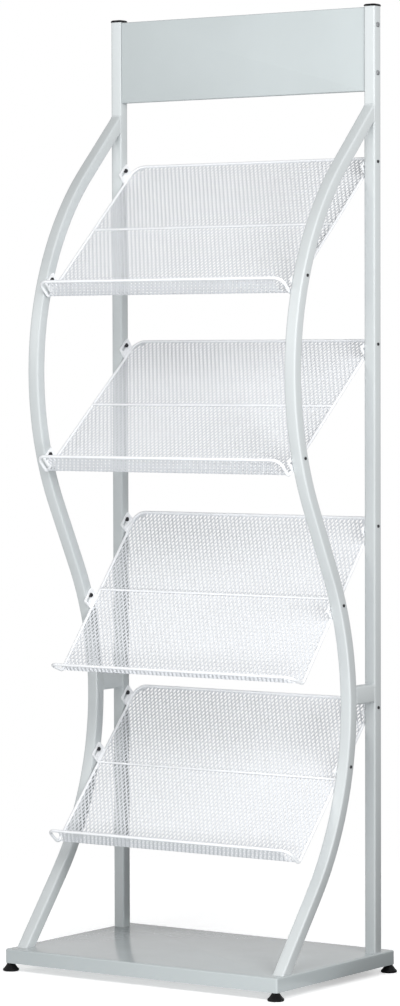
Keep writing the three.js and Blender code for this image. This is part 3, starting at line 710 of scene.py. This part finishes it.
def pan_screw(length, head):
    """From the floor of the cross recess, over the head and along the shank to its point."""
    r, shank = head / 2, PAN_SHANK / 2
    return [
        (1.7 * MM, outline("cross", 2.4 * MM, 0.6 * MM)),
        (0.35 * MM, outline("cross", 4.4 * MM, 1.0 * MM)),
        (0.12 * MM, outline("cross", 4.7 * MM, 1.2 * MM)),
        (0.12 * MM, outline("circle", 5.0 * MM)),
        (0.35 * MM, r * 0.80),
        (0.80 * MM, r * 0.93),
        (1.4 * MM, r),
        (PAN_HEAD - 0.2 * MM, r),
        (PAN_HEAD, r * 0.95),
        (PAN_HEAD, shank),
        (length - 2.5 * MM, shank),
        (length, shank / 3),
    ]


def hexagon_bolt(length):
    shank = HEXAGON_SHANK / 2
    return [
        (0.0, HEXAGON_FLATS / 2 * 0.86),
        (0.5 * MM, outline("hexagon", HEXAGON_FLATS)),
        (HEXAGON_HEAD, outline("hexagon", HEXAGON_FLATS)),
        (HEXAGON_HEAD, shank),
        (length - 0.8 * MM, shank),
        (length, shank * 0.8),
    ]


def across_frame(node, from_inside, profile):
    """A fastener along X, as long and as wide as a node's box, with its head at the inner or outer end."""
    low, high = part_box(node)
    middle = (low + high) / 2
    head_at_low = (middle.x > 0) == from_inside
    axis = (1, 0, 0) if head_at_low else (-1, 0, 0)
    stack = profile(high.x - low.x, high.z - low.z)
    return spun(stack, (low.x if head_at_low else high.x, middle.y, middle.z), axis)


for tray in TRAYS:
    for end in ("rear", "front"):
        for side in SIDES:
            node = f"{tray}_{end}_{side}_bolt"
            skin = across_frame(node, True, button_bolt)
            piece(f"{tray}_{end}_{side}_button_bolt", skin, dark_steel, "stand", "dark_steel", node)
for side in SIDES:
    for level in ("lower", "upper"):
        node = f"{side}_{level}_header_screw"
        skin = across_frame(node, False, pan_screw)
        piece(f"{side}_{level}_pan_screw", skin, bright_zinc, "stand", "bright_zinc", node)
for corner in CORNERS:
    node = f"{corner}_base_bolt"
    low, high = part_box(node)
    skin = spun(hexagon_bolt(high.z - low.z), (*centre(node).xy, low.z), (0, 0, 1))
    piece(f"{corner}_hexagon_bolt", skin, dark_steel, "stand", "dark_steel", node)
print("fasteners made")

# %% [markdown]
# ## Feet
# A foot is a pad with a fat round rim, moulded in black, on a zinc stem that screws up into a corner of
# the base. Its sides draw in from the rim to a neck. The thread is a real helix: the radius of each
# ring depends on its height and on the angle round the stem, so one turn climbs by one pitch.

# %% Feet
PAD_RIM, PAD_EDGE, PAD_NECK, PAD_FLARE = 4.4 * MM, 1.6 * MM, 11.6 * MM, 0.8
THREAD_PITCH, THREAD_DEPTH = 1.0 * MM, 0.55 * MM
THREAD_STEPS = 6
RIM_STEPS, FLARE_STEPS = 10, 12
NECK_EDGE = 0.8 * MM
CHAMFER_LENGTH, CHAMFER_DEPTH = 1.5 * MM, 0.6 * MM


def pad_stack(width, height):
    """From the sole, round the fat rim and up the drawn-in sides to the neck."""
    rim, neck = width / 2, PAD_NECK / 2
    stack = [(0.0, rim - 2 * PAD_EDGE)]
    for a in np.linspace(-np.pi / 2, np.pi / 3, RIM_STEPS):
        stack.append((PAD_RIM / 2 * (1 + math.sin(a)), rim - PAD_EDGE * (1 - math.cos(a))))
    foot, shoulder = stack[-1]
    for share in np.linspace(0, 1, FLARE_STEPS)[1:]:
        drawn_in = (shoulder - neck) * share ** PAD_FLARE
        stack.append((foot + (height - foot) * share, shoulder - drawn_in))
    return stack + [(height, neck - NECK_EDGE)]


def stem_skin(low, high):
    """A threaded rod with a chamfer at its upper end."""
    radius = (high.x - low.x) / 2
    levels = np.arange(low.z, high.z, THREAD_PITCH / THREAD_STEPS)
    angle = np.arange(ROUND) / ROUND
    stack = []
    for z in levels:
        wave = np.abs(((z / THREAD_PITCH - angle) % 1) * 2 - 1)
        taper = min(1.0, (high.z - z) / CHAMFER_LENGTH)
        stack.append((z - low.z, radius - THREAD_DEPTH * (1 - wave) - CHAMFER_DEPTH * (1 - taper)))
    return spun(stack, (*((low + high) / 2).xy, low.z), (0, 0, 1))


for corner in CORNERS:
    pad, stem = f"{corner}_foot_pad", f"{corner}_foot_stem"
    low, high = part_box(pad)
    skin = spun(pad_stack(high.x - low.x, high.z - low.z), (*centre(pad).xy, low.z), (0, 0, 1))
    piece(f"{corner}_flared_pad", skin, black_plastic, f"{corner}_foot", "black_plastic", pad)
    skin = stem_skin(*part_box(stem))
    piece(f"{corner}_threaded_stem", skin, bright_zinc, f"{corner}_stem", "bright_zinc", stem)
print("feet made")

# %% [markdown]
# ## Caps
# Each upright is closed by a pushed-in cap with a low crown. Its rim stands just proud of the tube and
# its plug, out of sight, grips the bore.

# %% Caps
CAP_HEIGHT = 4 * MM
CAP_CORNER, CAP_CORNER_SHARE = 4 * MM, 0.2
# How far in and how far up each ring of the crown lies, as shares of the cap's height
CROWN = ((0.0, 0.0), (0.0, 0.3), (0.08, 0.58), (0.28, 0.8), (0.7, 0.93), (1.5, 1.0))

for side in SIDES:
    node = f"{side}_top_cap"
    low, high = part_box(node)
    width = high.x - low.x
    seat = high.z - CAP_HEIGHT
    plug = width - 2 * CAP_CORNER
    stack = [(plug, low.z), (plug, seat)]
    stack += [(width - 2 * CAP_HEIGHT * inset, seat + CAP_HEIGHT * rise) for inset, rise in CROWN]
    rings = []
    for size, level in stack:
        section = rounded(size, size, min(CAP_CORNER, size * CAP_CORNER_SHARE)) + centre(node).xy
        rings.append(np.column_stack([section, np.full(len(section), level)]))
    piece(f"{side}_crowned_cap", loft(rings), black_plastic, "stand", "black_plastic", node)
print("caps made")

# %% [markdown]
# ## Trays
# A tray is one perforated sheet, bent up at its front into a lip, in a border of round wire. It is
# worked out in its own frame: X across, Y up the slope and Z square to the deck, from a point between
# the two rear bolts. The slope is read from the direction in which the tray can slide, and the depth
# from the longest bolt spacing.

# %% Trays
LIP_OPENS = {"top_tray": 95, "upper_tray": 95, "lower_tray": 110, "bottom_tray": 95}
BOLT_ABOVE_DECK = 14 * MM
TRAY_OVERHANG, TRAY_NOSE = 26 * MM, 9 * MM
SLOT_TRAVEL, TAB_REAR, TAB_FRONT, TAB_TOP = 11 * MM, 11.5 * MM, 6.5 * MM, 6.5 * MM
TAB_SHEET, TAB_WELD = 2 * MM, 0.8 * MM
LIP_HEIGHT, FOLD_RADIUS = 36 * MM, 6 * MM
REAR_CORNER, LIP_CORNER = 18 * MM, 14 * MM
WIRE, CROSS_WIRE = 5 * MM, 4 * MM
CLEARANCE = 0.3 * MM

TAB_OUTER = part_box("right_upright")[0].x - CLEARANCE
TAB_INNER = TAB_OUTER - TAB_SHEET
WIRE_X = TAB_INNER + TAB_WELD - WIRE / 2
DECK_Z = -BOLT_ABOVE_DECK


def bolt_span(tray):
    return (centre(f"{tray}_rear_right_bolt") - centre(f"{tray}_front_right_bolt")).yz.length


REAR_Y = TRAY_OVERHANG
FOLD_Y = -max(bolt_span(tray) for tray in TRAYS) - SLOT_TRAVEL - TAB_FRONT - TRAY_NOSE
SLOPES = {joint["child"]: math.atan2(joint["axis"][2], joint["axis"][1]) for joint in frame["joints"]}


def on_slope(tray, points):
    """Turns points of a tray's own frame into the rack's."""
    origin = centre(f"{tray}_rear_right_bolt")
    lean = SLOPES[tray]
    x, y, z = np.moveaxis(np.asarray(points, float), -1, 0)
    return np.stack([
        x,
        origin.y + y * math.cos(lean) - z * math.sin(lean),
        origin.z + y * math.sin(lean) + z * math.cos(lean),
    ], axis=-1)


print("tray depth:", round((REAR_Y - FOLD_Y) / MM, 1), "mm")
print("slopes:", {tray: round(math.degrees(SLOPES[tray]), 1) for tray in TRAYS})

# %% [markdown]
# ## Perforated sheet
# The holes are punched in rows that step sideways by half a pitch, so the plane divides into diamonds
# with one hole in each. Cutting three thousand holes a sheet with booleans would be slow and ragged.
# Instead the diamonds' corners and edge middles form a lattice, each hole is a ring of eight points,
# and quads join the two. The flat pattern is then carried over the deck, round the bend and up the lip,
# and thickened, so that light really passes through.

# %% Perforated sheet
HOLE_PITCH, ROW_PITCH = 7.8 * MM, 6.9 * MM
HOLE_WIDTH, HOLE_LENGTH = 4.8 * MM, 9.4 * MM
# How far the slanting sides of a hole bulge, as a share of its half width and half length
FULL = 0.58
HOLE_POINTS = (
    (1, 0), (FULL, FULL), (0, 1), (-FULL, FULL),
    (-1, 0), (-FULL, -FULL), (0, -1), (FULL, -FULL),
)
HOLE = np.array(HOLE_POINTS) * (HOLE_WIDTH / 2, HOLE_LENGTH / 2)
SHEET = 1.2 * MM
LIP_GAP = 17 * MM


def deck_profile(lip_angle):
    """The side line as a function of the distance from the rear edge, its length, and the lip's length."""
    turn = math.pi - lip_angle
    setback = FOLD_RADIUS * math.tan(turn / 2)
    flat = REAR_Y - FOLD_Y - setback
    bend = FOLD_RADIUS * turn
    lip = LIP_HEIGHT - setback
    total = flat + bend + lip

    def at(distance):
        angle = np.clip((distance - flat) / FOLD_RADIUS, 0, turn)
        beyond = np.maximum(distance - flat - bend, 0)
        y = REAR_Y - np.minimum(distance, flat) - FOLD_RADIUS * np.sin(angle) - beyond * math.cos(turn)
        z = DECK_Z + FOLD_RADIUS * (1 - np.cos(angle)) + beyond * math.sin(turn)
        return y, z, np.sin(angle), np.cos(angle)

    return at, total, lip


def round_off(flat, width, length):
    """Draws the points that lie beyond the border's round corners back to them, and says which moved."""
    moved = np.zeros(len(flat), bool)
    for side in (-1, 1):
        for rear, radius in ((True, REAR_CORNER), (False, LIP_CORNER)):
            middle = np.array([side * (width / 2 - radius), radius if rear else length - radius])
            away = flat - middle
            beyond = (away[:, 0] * side > 0) & ((away[:, 1] < 0) == rear) & (np.hypot(*away.T) > radius)
            reach = np.hypot(*away[beyond].T)[:, None]
            flat[beyond] = middle + away[beyond] * radius / reach
            moved |= beyond
    return moved


def lattice(columns, rows):
    return np.stack(np.meshgrid(np.arange(columns), np.arange(rows), indexing="ij"), -1).reshape(-1, 2)


def corner_index(a, b, rows):
    return a * (rows + 1) + b


def middle_index(a, b, columns, rows):
    return (columns + 1) * (rows + 1) + a * rows + b


def diamond(a, b):
    """The corners of a diamond, each with the edge middle that follows it, as places in the lattice."""
    corners = (a + 1, b), (a, b + 1), (a - 1, b), (a, b - 1)
    middles = (a, b), (a - 1, b), (a - 1, b - 1), (a, b - 1)
    return zip(corners, middles)


def whole_rings(a, b, columns, rows):
    """Indices of the eight points round each whole diamond."""
    rings = []
    for corner, middle in diamond(a, b):
        rings += [corner_index(*corner, rows), middle_index(*middle, columns, rows)]
    return np.stack(rings, axis=1)


def cut_ring(a, b, columns, rows):
    """Indices of the points round a diamond that the sheet's edge cuts."""
    ring = []
    for corner, middle in diamond(a, b):
        if 0 <= corner[0] <= columns and 0 <= corner[1] <= rows:
            ring.append(corner_index(*corner, rows))
        if 0 <= middle[0] < columns and 0 <= middle[1] < rows:
            ring.append(middle_index(*middle, columns, rows))
    return ring


def hole_pattern(width, length, lip):
    """Points and faces of the flat sheet, with a hole in every diamond that keeps its shape."""
    columns = 2 * round(width / HOLE_PITCH)
    rows = 2 * round(length / ROW_PITCH / 2)
    step = np.array([width / columns, length / rows])
    corners, middles = lattice(columns + 1, rows + 1), lattice(columns, rows) + 0.5
    a, b = corners[corners.sum(1) % 2 == 1].T
    at_end = np.abs(a * step[0] - width / 2) > width / 2 - LIP_GAP
    kept = ~(at_end & (b * step[1] > length - lip))
    a, b = a[kept], b[kept]
    whole = (a > 0) & (a < columns) & (b > 0) & (b < rows)
    centres = np.column_stack([a[whole], b[whole]]) * step
    flat = np.vstack([corners * step, middles * step, (centres[:, None] + HOLE).reshape(-1, 2)])
    flat[:, 0] -= width / 2
    moved = round_off(flat, width, length)

    ring = whole_rings(a[whole], b[whole], columns, rows)
    rim = len(corners) + len(middles) + np.arange(ring.size).reshape(ring.shape)
    quads = np.stack([ring, np.roll(ring, -1, axis=1), np.roll(rim, -1, axis=1), rim], axis=-1)
    pierced = ~moved[ring].any(axis=1)
    faces = quads[pierced].reshape(-1, 4).tolist()
    plain = ring[~pierced].tolist()
    plain += [cut_ring(*place, columns, rows) for place in zip(a[~whole], b[~whole])]
    return flat, faces + [face for face in plain if not moved[face].all()]


def thickened(flat, faces, side_line):
    """Both sides of the sheet on the tray's side line, and the walls of its holes and edges."""
    y, z, lean, rise = side_line(flat[:, 1])
    sides = []
    for half in (SHEET / 2, -SHEET / 2):
        sides.append(np.column_stack([flat[:, 0], y + half * lean, z + half * rise]))
    count = len(flat)
    under = [[i + count for i in reversed(face)] for face in faces]
    edges = {(p, q) for face in faces for p, q in zip(face, face[1:] + face[:1])}
    walls = [[q, p, p + count, q + count] for p, q in edges if (q, p) not in edges]
    return without_spares(np.vstack(sides), faces + under + walls)


def without_spares(points, faces):
    """Leaves out the points that no face uses."""
    used = np.unique(np.concatenate([np.asarray(face) for face in faces]))
    place = np.zeros(len(points), int)
    place[used] = np.arange(len(used))
    return points[used], [[int(place[i]) for i in face] for face in faces]


for tray in TRAYS:
    side_line, length, lip = deck_profile(math.radians(LIP_OPENS[tray]))
    points, faces = thickened(*hole_pattern(2 * WIRE_X, length, lip), side_line)
    skin = (on_slope(tray, points), faces)
    nodes = (f"{tray}_deck", f"{tray}_lip")
    made = piece(f"{tray}_perforated_sheet", skin, white_coat, tray, "white_coat", *nodes)
    print(made.name, "faces:", len(made.data.polygons))

# %% [markdown]
# ## Wire border, tabs and cross wire
# The border is one round wire bent all the way round the sheet: along the rear, down both sides, up the
# ends of the lip and along its top. Four slotted tabs stand on it, and each has a short weld at its
# foot. A second, thinner wire lies across the middle of the deck to stiffen it.

# %% Wire border, tabs and cross wire
BORDER_STEPS = 10
TAB_CORNER = 3 * MM
TAB_POINTS = 48
TAB_STEP = 0.25 * MM
TAB_CORNER_STEPS = 8
SLOT_RADIUS = 2.8 * MM
# A slot's ends are a hair less than half circles, so that no two of its points coincide
SLOT_CORNER = SLOT_RADIUS * 0.999
WIRE_SIDES = 14
CROSS_WIRE_POINTS = 9
CROSS_WIRE_SINK = 0.2 * MM
TAB_BEAD = 1.3 * MM
TAB_BEAD_END, TAB_BEAD_SINK, TAB_BEAD_RISE = 1.5 * MM, 0.2 * MM, 1.6 * MM


def border_line(tray):
    lip_angle = math.radians(LIP_OPENS[tray])
    turn = math.pi - lip_angle
    quarter = np.linspace(0, np.pi / 2, BORDER_STEPS)
    rear = np.column_stack([
        WIRE_X - REAR_CORNER * (1 - np.sin(quarter)),
        REAR_Y - REAR_CORNER * (1 - np.cos(quarter)),
        np.full(BORDER_STEPS, DECK_Z),
    ])
    fold = np.linspace(0, turn, BORDER_STEPS)
    start = FOLD_Y + FOLD_RADIUS * math.tan(turn / 2)
    bend = np.column_stack([
        np.full(BORDER_STEPS, WIRE_X),
        start - FOLD_RADIUS * np.sin(fold),
        DECK_Z + FOLD_RADIUS * (1 - np.cos(fold)),
    ])
    height = LIP_HEIGHT - LIP_CORNER * (1 - np.sin(quarter))
    lip = np.column_stack([
        WIRE_X - LIP_CORNER * (1 - np.cos(quarter)),
        FOLD_Y + height * math.cos(lip_angle),
        DECK_Z + height * math.sin(lip_angle),
    ])
    half = np.vstack([rear, bend, lip])
    return np.vstack([half, (half * (-1, 1, 1))[::-1]])


def from_angle_zero(line, middle):
    """Starts a closed line at the point that lies straight ahead of a middle point."""
    angle = np.arctan2(line[:, 1] - middle[1], line[:, 0] - middle[0])
    return np.roll(line, -np.argmin(np.abs(angle)), axis=0)


def tab_skin(sign, y):
    """A plate with a slot, as quads between the plate's outline and the slot's."""
    low_z = DECK_Z - WIRE / 4
    middle = np.array([-SLOT_TRAVEL / 2, 0])
    plate = rounded(TAB_REAR + SLOT_TRAVEL + TAB_FRONT, TAB_TOP - low_z, TAB_CORNER, TAB_CORNER_STEPS)
    plate = plate + ((TAB_REAR - SLOT_TRAVEL - TAB_FRONT) / 2, (TAB_TOP + low_z) / 2)
    slot = rounded(SLOT_TRAVEL + 2 * SLOT_RADIUS, 2 * SLOT_RADIUS, SLOT_CORNER, TAB_CORNER_STEPS) + middle
    loops = []
    for line in (plate, slot):
        even = resampled(from_angle_zero(resampled(line, TAB_STEP), middle), TAB_STEP)
        loops.append(even[np.linspace(0, len(even), TAB_POINTS, endpoint=False).astype(int)])
    rings = []
    for line, ends in zip(loops, ((TAB_INNER, TAB_OUTER), (TAB_OUTER, TAB_INNER))):
        rings += [np.column_stack([np.full(TAB_POINTS, sign * x), line + (y, 0)]) for x in ends]
    return loft(rings, loop=True)


def tab_weld(sign, y):
    ends = (y + TAB_REAR - TAB_BEAD_END, y - SLOT_TRAVEL - TAB_FRONT + TAB_BEAD_END)
    x = sign * (TAB_INNER - TAB_BEAD_SINK)
    line = [(x, end, DECK_Z + TAB_BEAD_RISE) for end in ends]
    return bead(resampled(line, BEAD_STEP, loop=False), TAB_BEAD)


def border_skin(tray):
    skins = [wire(border_line(tray), WIRE / 2, WIRE_SIDES, loop=True)]
    for sign in SIDES.values():
        for y in (0, -bolt_span(tray)):
            skins += [tab_skin(sign, y), tab_weld(sign, y)]
    points, faces = together(*skins)
    return on_slope(tray, points), faces


def cross_wire_skin(tray):
    y = (REAR_Y + FOLD_Y) / 2
    z = DECK_Z + SHEET / 2 + CROSS_WIRE / 2 - CROSS_WIRE_SINK
    reach = WIRE_X - WIRE / 4
    line = [(x, y, z) for x in np.linspace(-reach, reach, CROSS_WIRE_POINTS)]
    points, faces = wire(line, CROSS_WIRE / 2, WIRE_SIDES)
    return on_slope(tray, points), faces


for tray in TRAYS:
    piece(f"{tray}_border_wire", border_skin(tray), wire_coat_painted_lighter, tray, "white_coat", f"{tray}_frame")
    node = f"{tray}_middle_wire"
    piece(f"{tray}_cross_wire", cross_wire_skin(tray), wire_coat_painted_lighter, tray, "white_coat", node)
print("tray borders made")

# %% [markdown]
# ## Floor
# The rack stands on a pale studio floor that fades into the white backdrop, so no horizon cuts the
# picture. Only the camera sees it. What the rack itself sees under its rear half is a dark cloth, as
# photographers lay one where bounced light would flatten a pale object. A wider dark floor at the rear
# right shows in gloss alone, and keeps the top of the base from mirroring pure white.

# %% Floor
FLOOR_RADIUS, CLOTH_RADIUS, STUDIO_RADIUS = 1.5, 0.8, 2.4
HUB = 0.01
CLOTH_LEVEL, STUDIO_LEVEL = -2 * MM, -3 * MM
CLOTH_FRONT = -0.05
FADE_STOPS = ((0.30, 1.0), (0.95, 0.0))
DISC_RINGS, DISC_SPOKES = 6, 72


def pale_floor():
    material, place = new_finish("pale_floor")
    across = place.node("VectorMath", {"operation": "LENGTH"}, {0: place}, "Value")
    share = across * (1 / FLOOR_RADIUS)
    fade = place.node("ValToRGB", {"stops": FADE_STOPS}, {"Fac": share})
    patches = noise(place, scale=14, detail=3)
    shade = blend(place, patches, colour(0.91, 0.91, 0.91), colour(0.94, 0.94, 0.94))
    cover(
        place,
        Base_Color=shade,
        Roughness=0.7,
        Alpha=fade,
        Emission_Color=shade,
        Emission_Strength=0.50,
    )
    return material


def dark_cloth():
    material, place = new_finish("dark_cloth")
    weave = noise(place, scale=300)
    shade = blend(place, weave, colour(0.02, 0.02, 0.02), colour(0.04, 0.04, 0.04))
    cover(place, Base_Color=shade, Roughness=0.9)
    return material


def stage_piece(name, points, faces, finish):
    mesh = bpy.data.meshes.new(name)
    mesh.from_pydata(np.asarray(points).tolist(), [], faces)
    mesh.materials.append(finish)
    made = bpy.data.objects.new(name, mesh)
    bpy.context.collection.objects.link(made)
    made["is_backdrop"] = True
    return made


def disc(outer, level):
    """A flat ring round a small hole, without the two end faces that a skin would have."""
    spokes = np.arange(DISC_SPOKES) * 2 * np.pi / DISC_SPOKES
    rings = []
    for r in np.linspace(HUB, outer, DISC_RINGS):
        rings.append(np.column_stack([r * np.cos(spokes), r * np.sin(spokes), 0 * spokes + level]))
    points, faces = loft(rings)
    return points, faces[:-2]


floor = stage_piece("floor", *disc(FLOOR_RADIUS, 0), pale_floor())
floor.visible_diffuse = False
floor.visible_glossy = False
cloth = stage_piece("floor_cloth", *disc(CLOTH_RADIUS, CLOTH_LEVEL), dark_cloth())
cloth.location.y = CLOTH_FRONT + CLOTH_RADIUS
cloth.visible_camera = False
studio_floor = stage_piece("studio_floor", *disc(STUDIO_RADIUS, STUDIO_LEVEL), dark_cloth())
studio_floor.location = (STUDIO_RADIUS / 2, STUDIO_RADIUS, 0)
studio_floor.visible_camera = False
studio_floor.visible_diffuse = False
print("floor radius:", FLOOR_RADIUS, "m")

# %% [markdown]
# ## Light
# A high panel in front lights the trays and fades towards the floor, and a low one near the base lifts
# the lips and the feet of the bent tubes. Light linking keeps the low one off the uprights, as a black
# card would, so that they stay darker than what stands in front of them. Two more panels shape the
# outer faces and the back. These four are hidden from gloss, which would draw them as white lines along
# every tube, so a weak panel on the left gives the sheen. The room is white to the camera and partly to
# gloss. For everything else it dims upwards and towards the back, so that paint and white mesh keep
# their shapes against the backdrop.

# %% Light
ROOM_STOPS = ((0.10, 0.05), (0.90, 0.88))
ROOM_LEVEL, LIGHTER_RIGHT, DARKER_UP, DARKER_BACK = 0.27, 0.21, 0.37, 0.31
GLOSS_SHARE = 0.62


def softbox(name, at, towards, size, power):
    lamp = bpy.data.lights.new(name, "AREA")
    lamp.shape = "RECTANGLE"
    lamp.size, lamp.size_y = size
    lamp.energy = power
    panel = bpy.data.objects.new(name, lamp)
    panel.location = at
    panel.rotation_euler = (Vector(towards) - Vector(at)).to_track_quat("-Z", "Y").to_euler()
    panel.visible_camera = False
    panel.visible_glossy = False
    bpy.context.collection.objects.link(panel)
    return panel


softbox("front_panel", at=(0.8, -1.9, 2.1), towards=(0, 0, 1.1), size=(1.3, 1.0), power=29)
softbox("right_panel", at=(1.9, -0.7, 1.5), towards=(0, 0, 1.0), size=(1.0, 1.2), power=26)
softbox("rear_panel", at=(-2.2, 2.4, 0.9), towards=(0, 0, 0.8), size=(1.6, 1.6), power=80)
sheen = softbox("left_panel", at=(-1.9, -2.4, 1.9), towards=(0, 0, 1.2), size=(1.6, 1.4), power=8)
sheen.visible_glossy = True
low_panel = softbox("low_panel", at=(0.45, -1.05, 0.2), towards=(0, -0.1, 0.45), size=(1.2, 0.3), power=5.6)
shaded = bpy.data.collections.new("shaded_from_low_panel")
for side in SIDES:
    shaded.objects.link(bpy.data.objects[f"{side}_straight_tube"])
for member in shaded.collection_objects:
    member.light_linking.link_state = "EXCLUDE"
low_panel.light_linking.receiver_collection = shaded

world = bpy.data.worlds.new("studio")
world.use_nodes = True
world.node_tree.nodes.clear()
studio = Signal(world.node_tree)
ray = studio.node("TexCoord", {}, {}, "Generated")
right, back, up = (studio.node("SeparateXYZ", {}, {"Vector": ray}, axis) for axis in "XYZ")
facing = ROOM_LEVEL + right * LIGHTER_RIGHT - up * DARKER_UP - back * DARKER_BACK
room = studio.node("ValToRGB", {"stops": ROOM_STOPS}, {"Fac": facing})
around = studio.node("Background", {}, {"Color": colour(0.95, 0.98, 1.0), "Strength": room})
backdrop = studio.node("Background", {}, {"Color": colour(1, 1, 1), "Strength": 1.0})
seen, mirrored = (studio.node("LightPath", {}, {}, f"Is {kind} Ray") for kind in ("Camera", "Glossy"))
mixed = studio.node("MixShader", {}, {0: seen + mirrored * GLOSS_SHARE, 1: around, 2: backdrop})
studio.node("OutputWorld", {}, {"Surface": mixed})
bpy.context.scene.world = world
bpy.context.scene.view_settings.view_transform = "Standard"
print("lights:", [lamp.name for lamp in bpy.data.lights])

# %% [markdown]
# ## Size
# The finished rack has to fill the same box as the frame it was built on. Both boxes are printed.

# %% Size
size = {"frame": [list(corner) for corner in cad_box], "finished": [list(corner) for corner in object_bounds()]}
print(size)
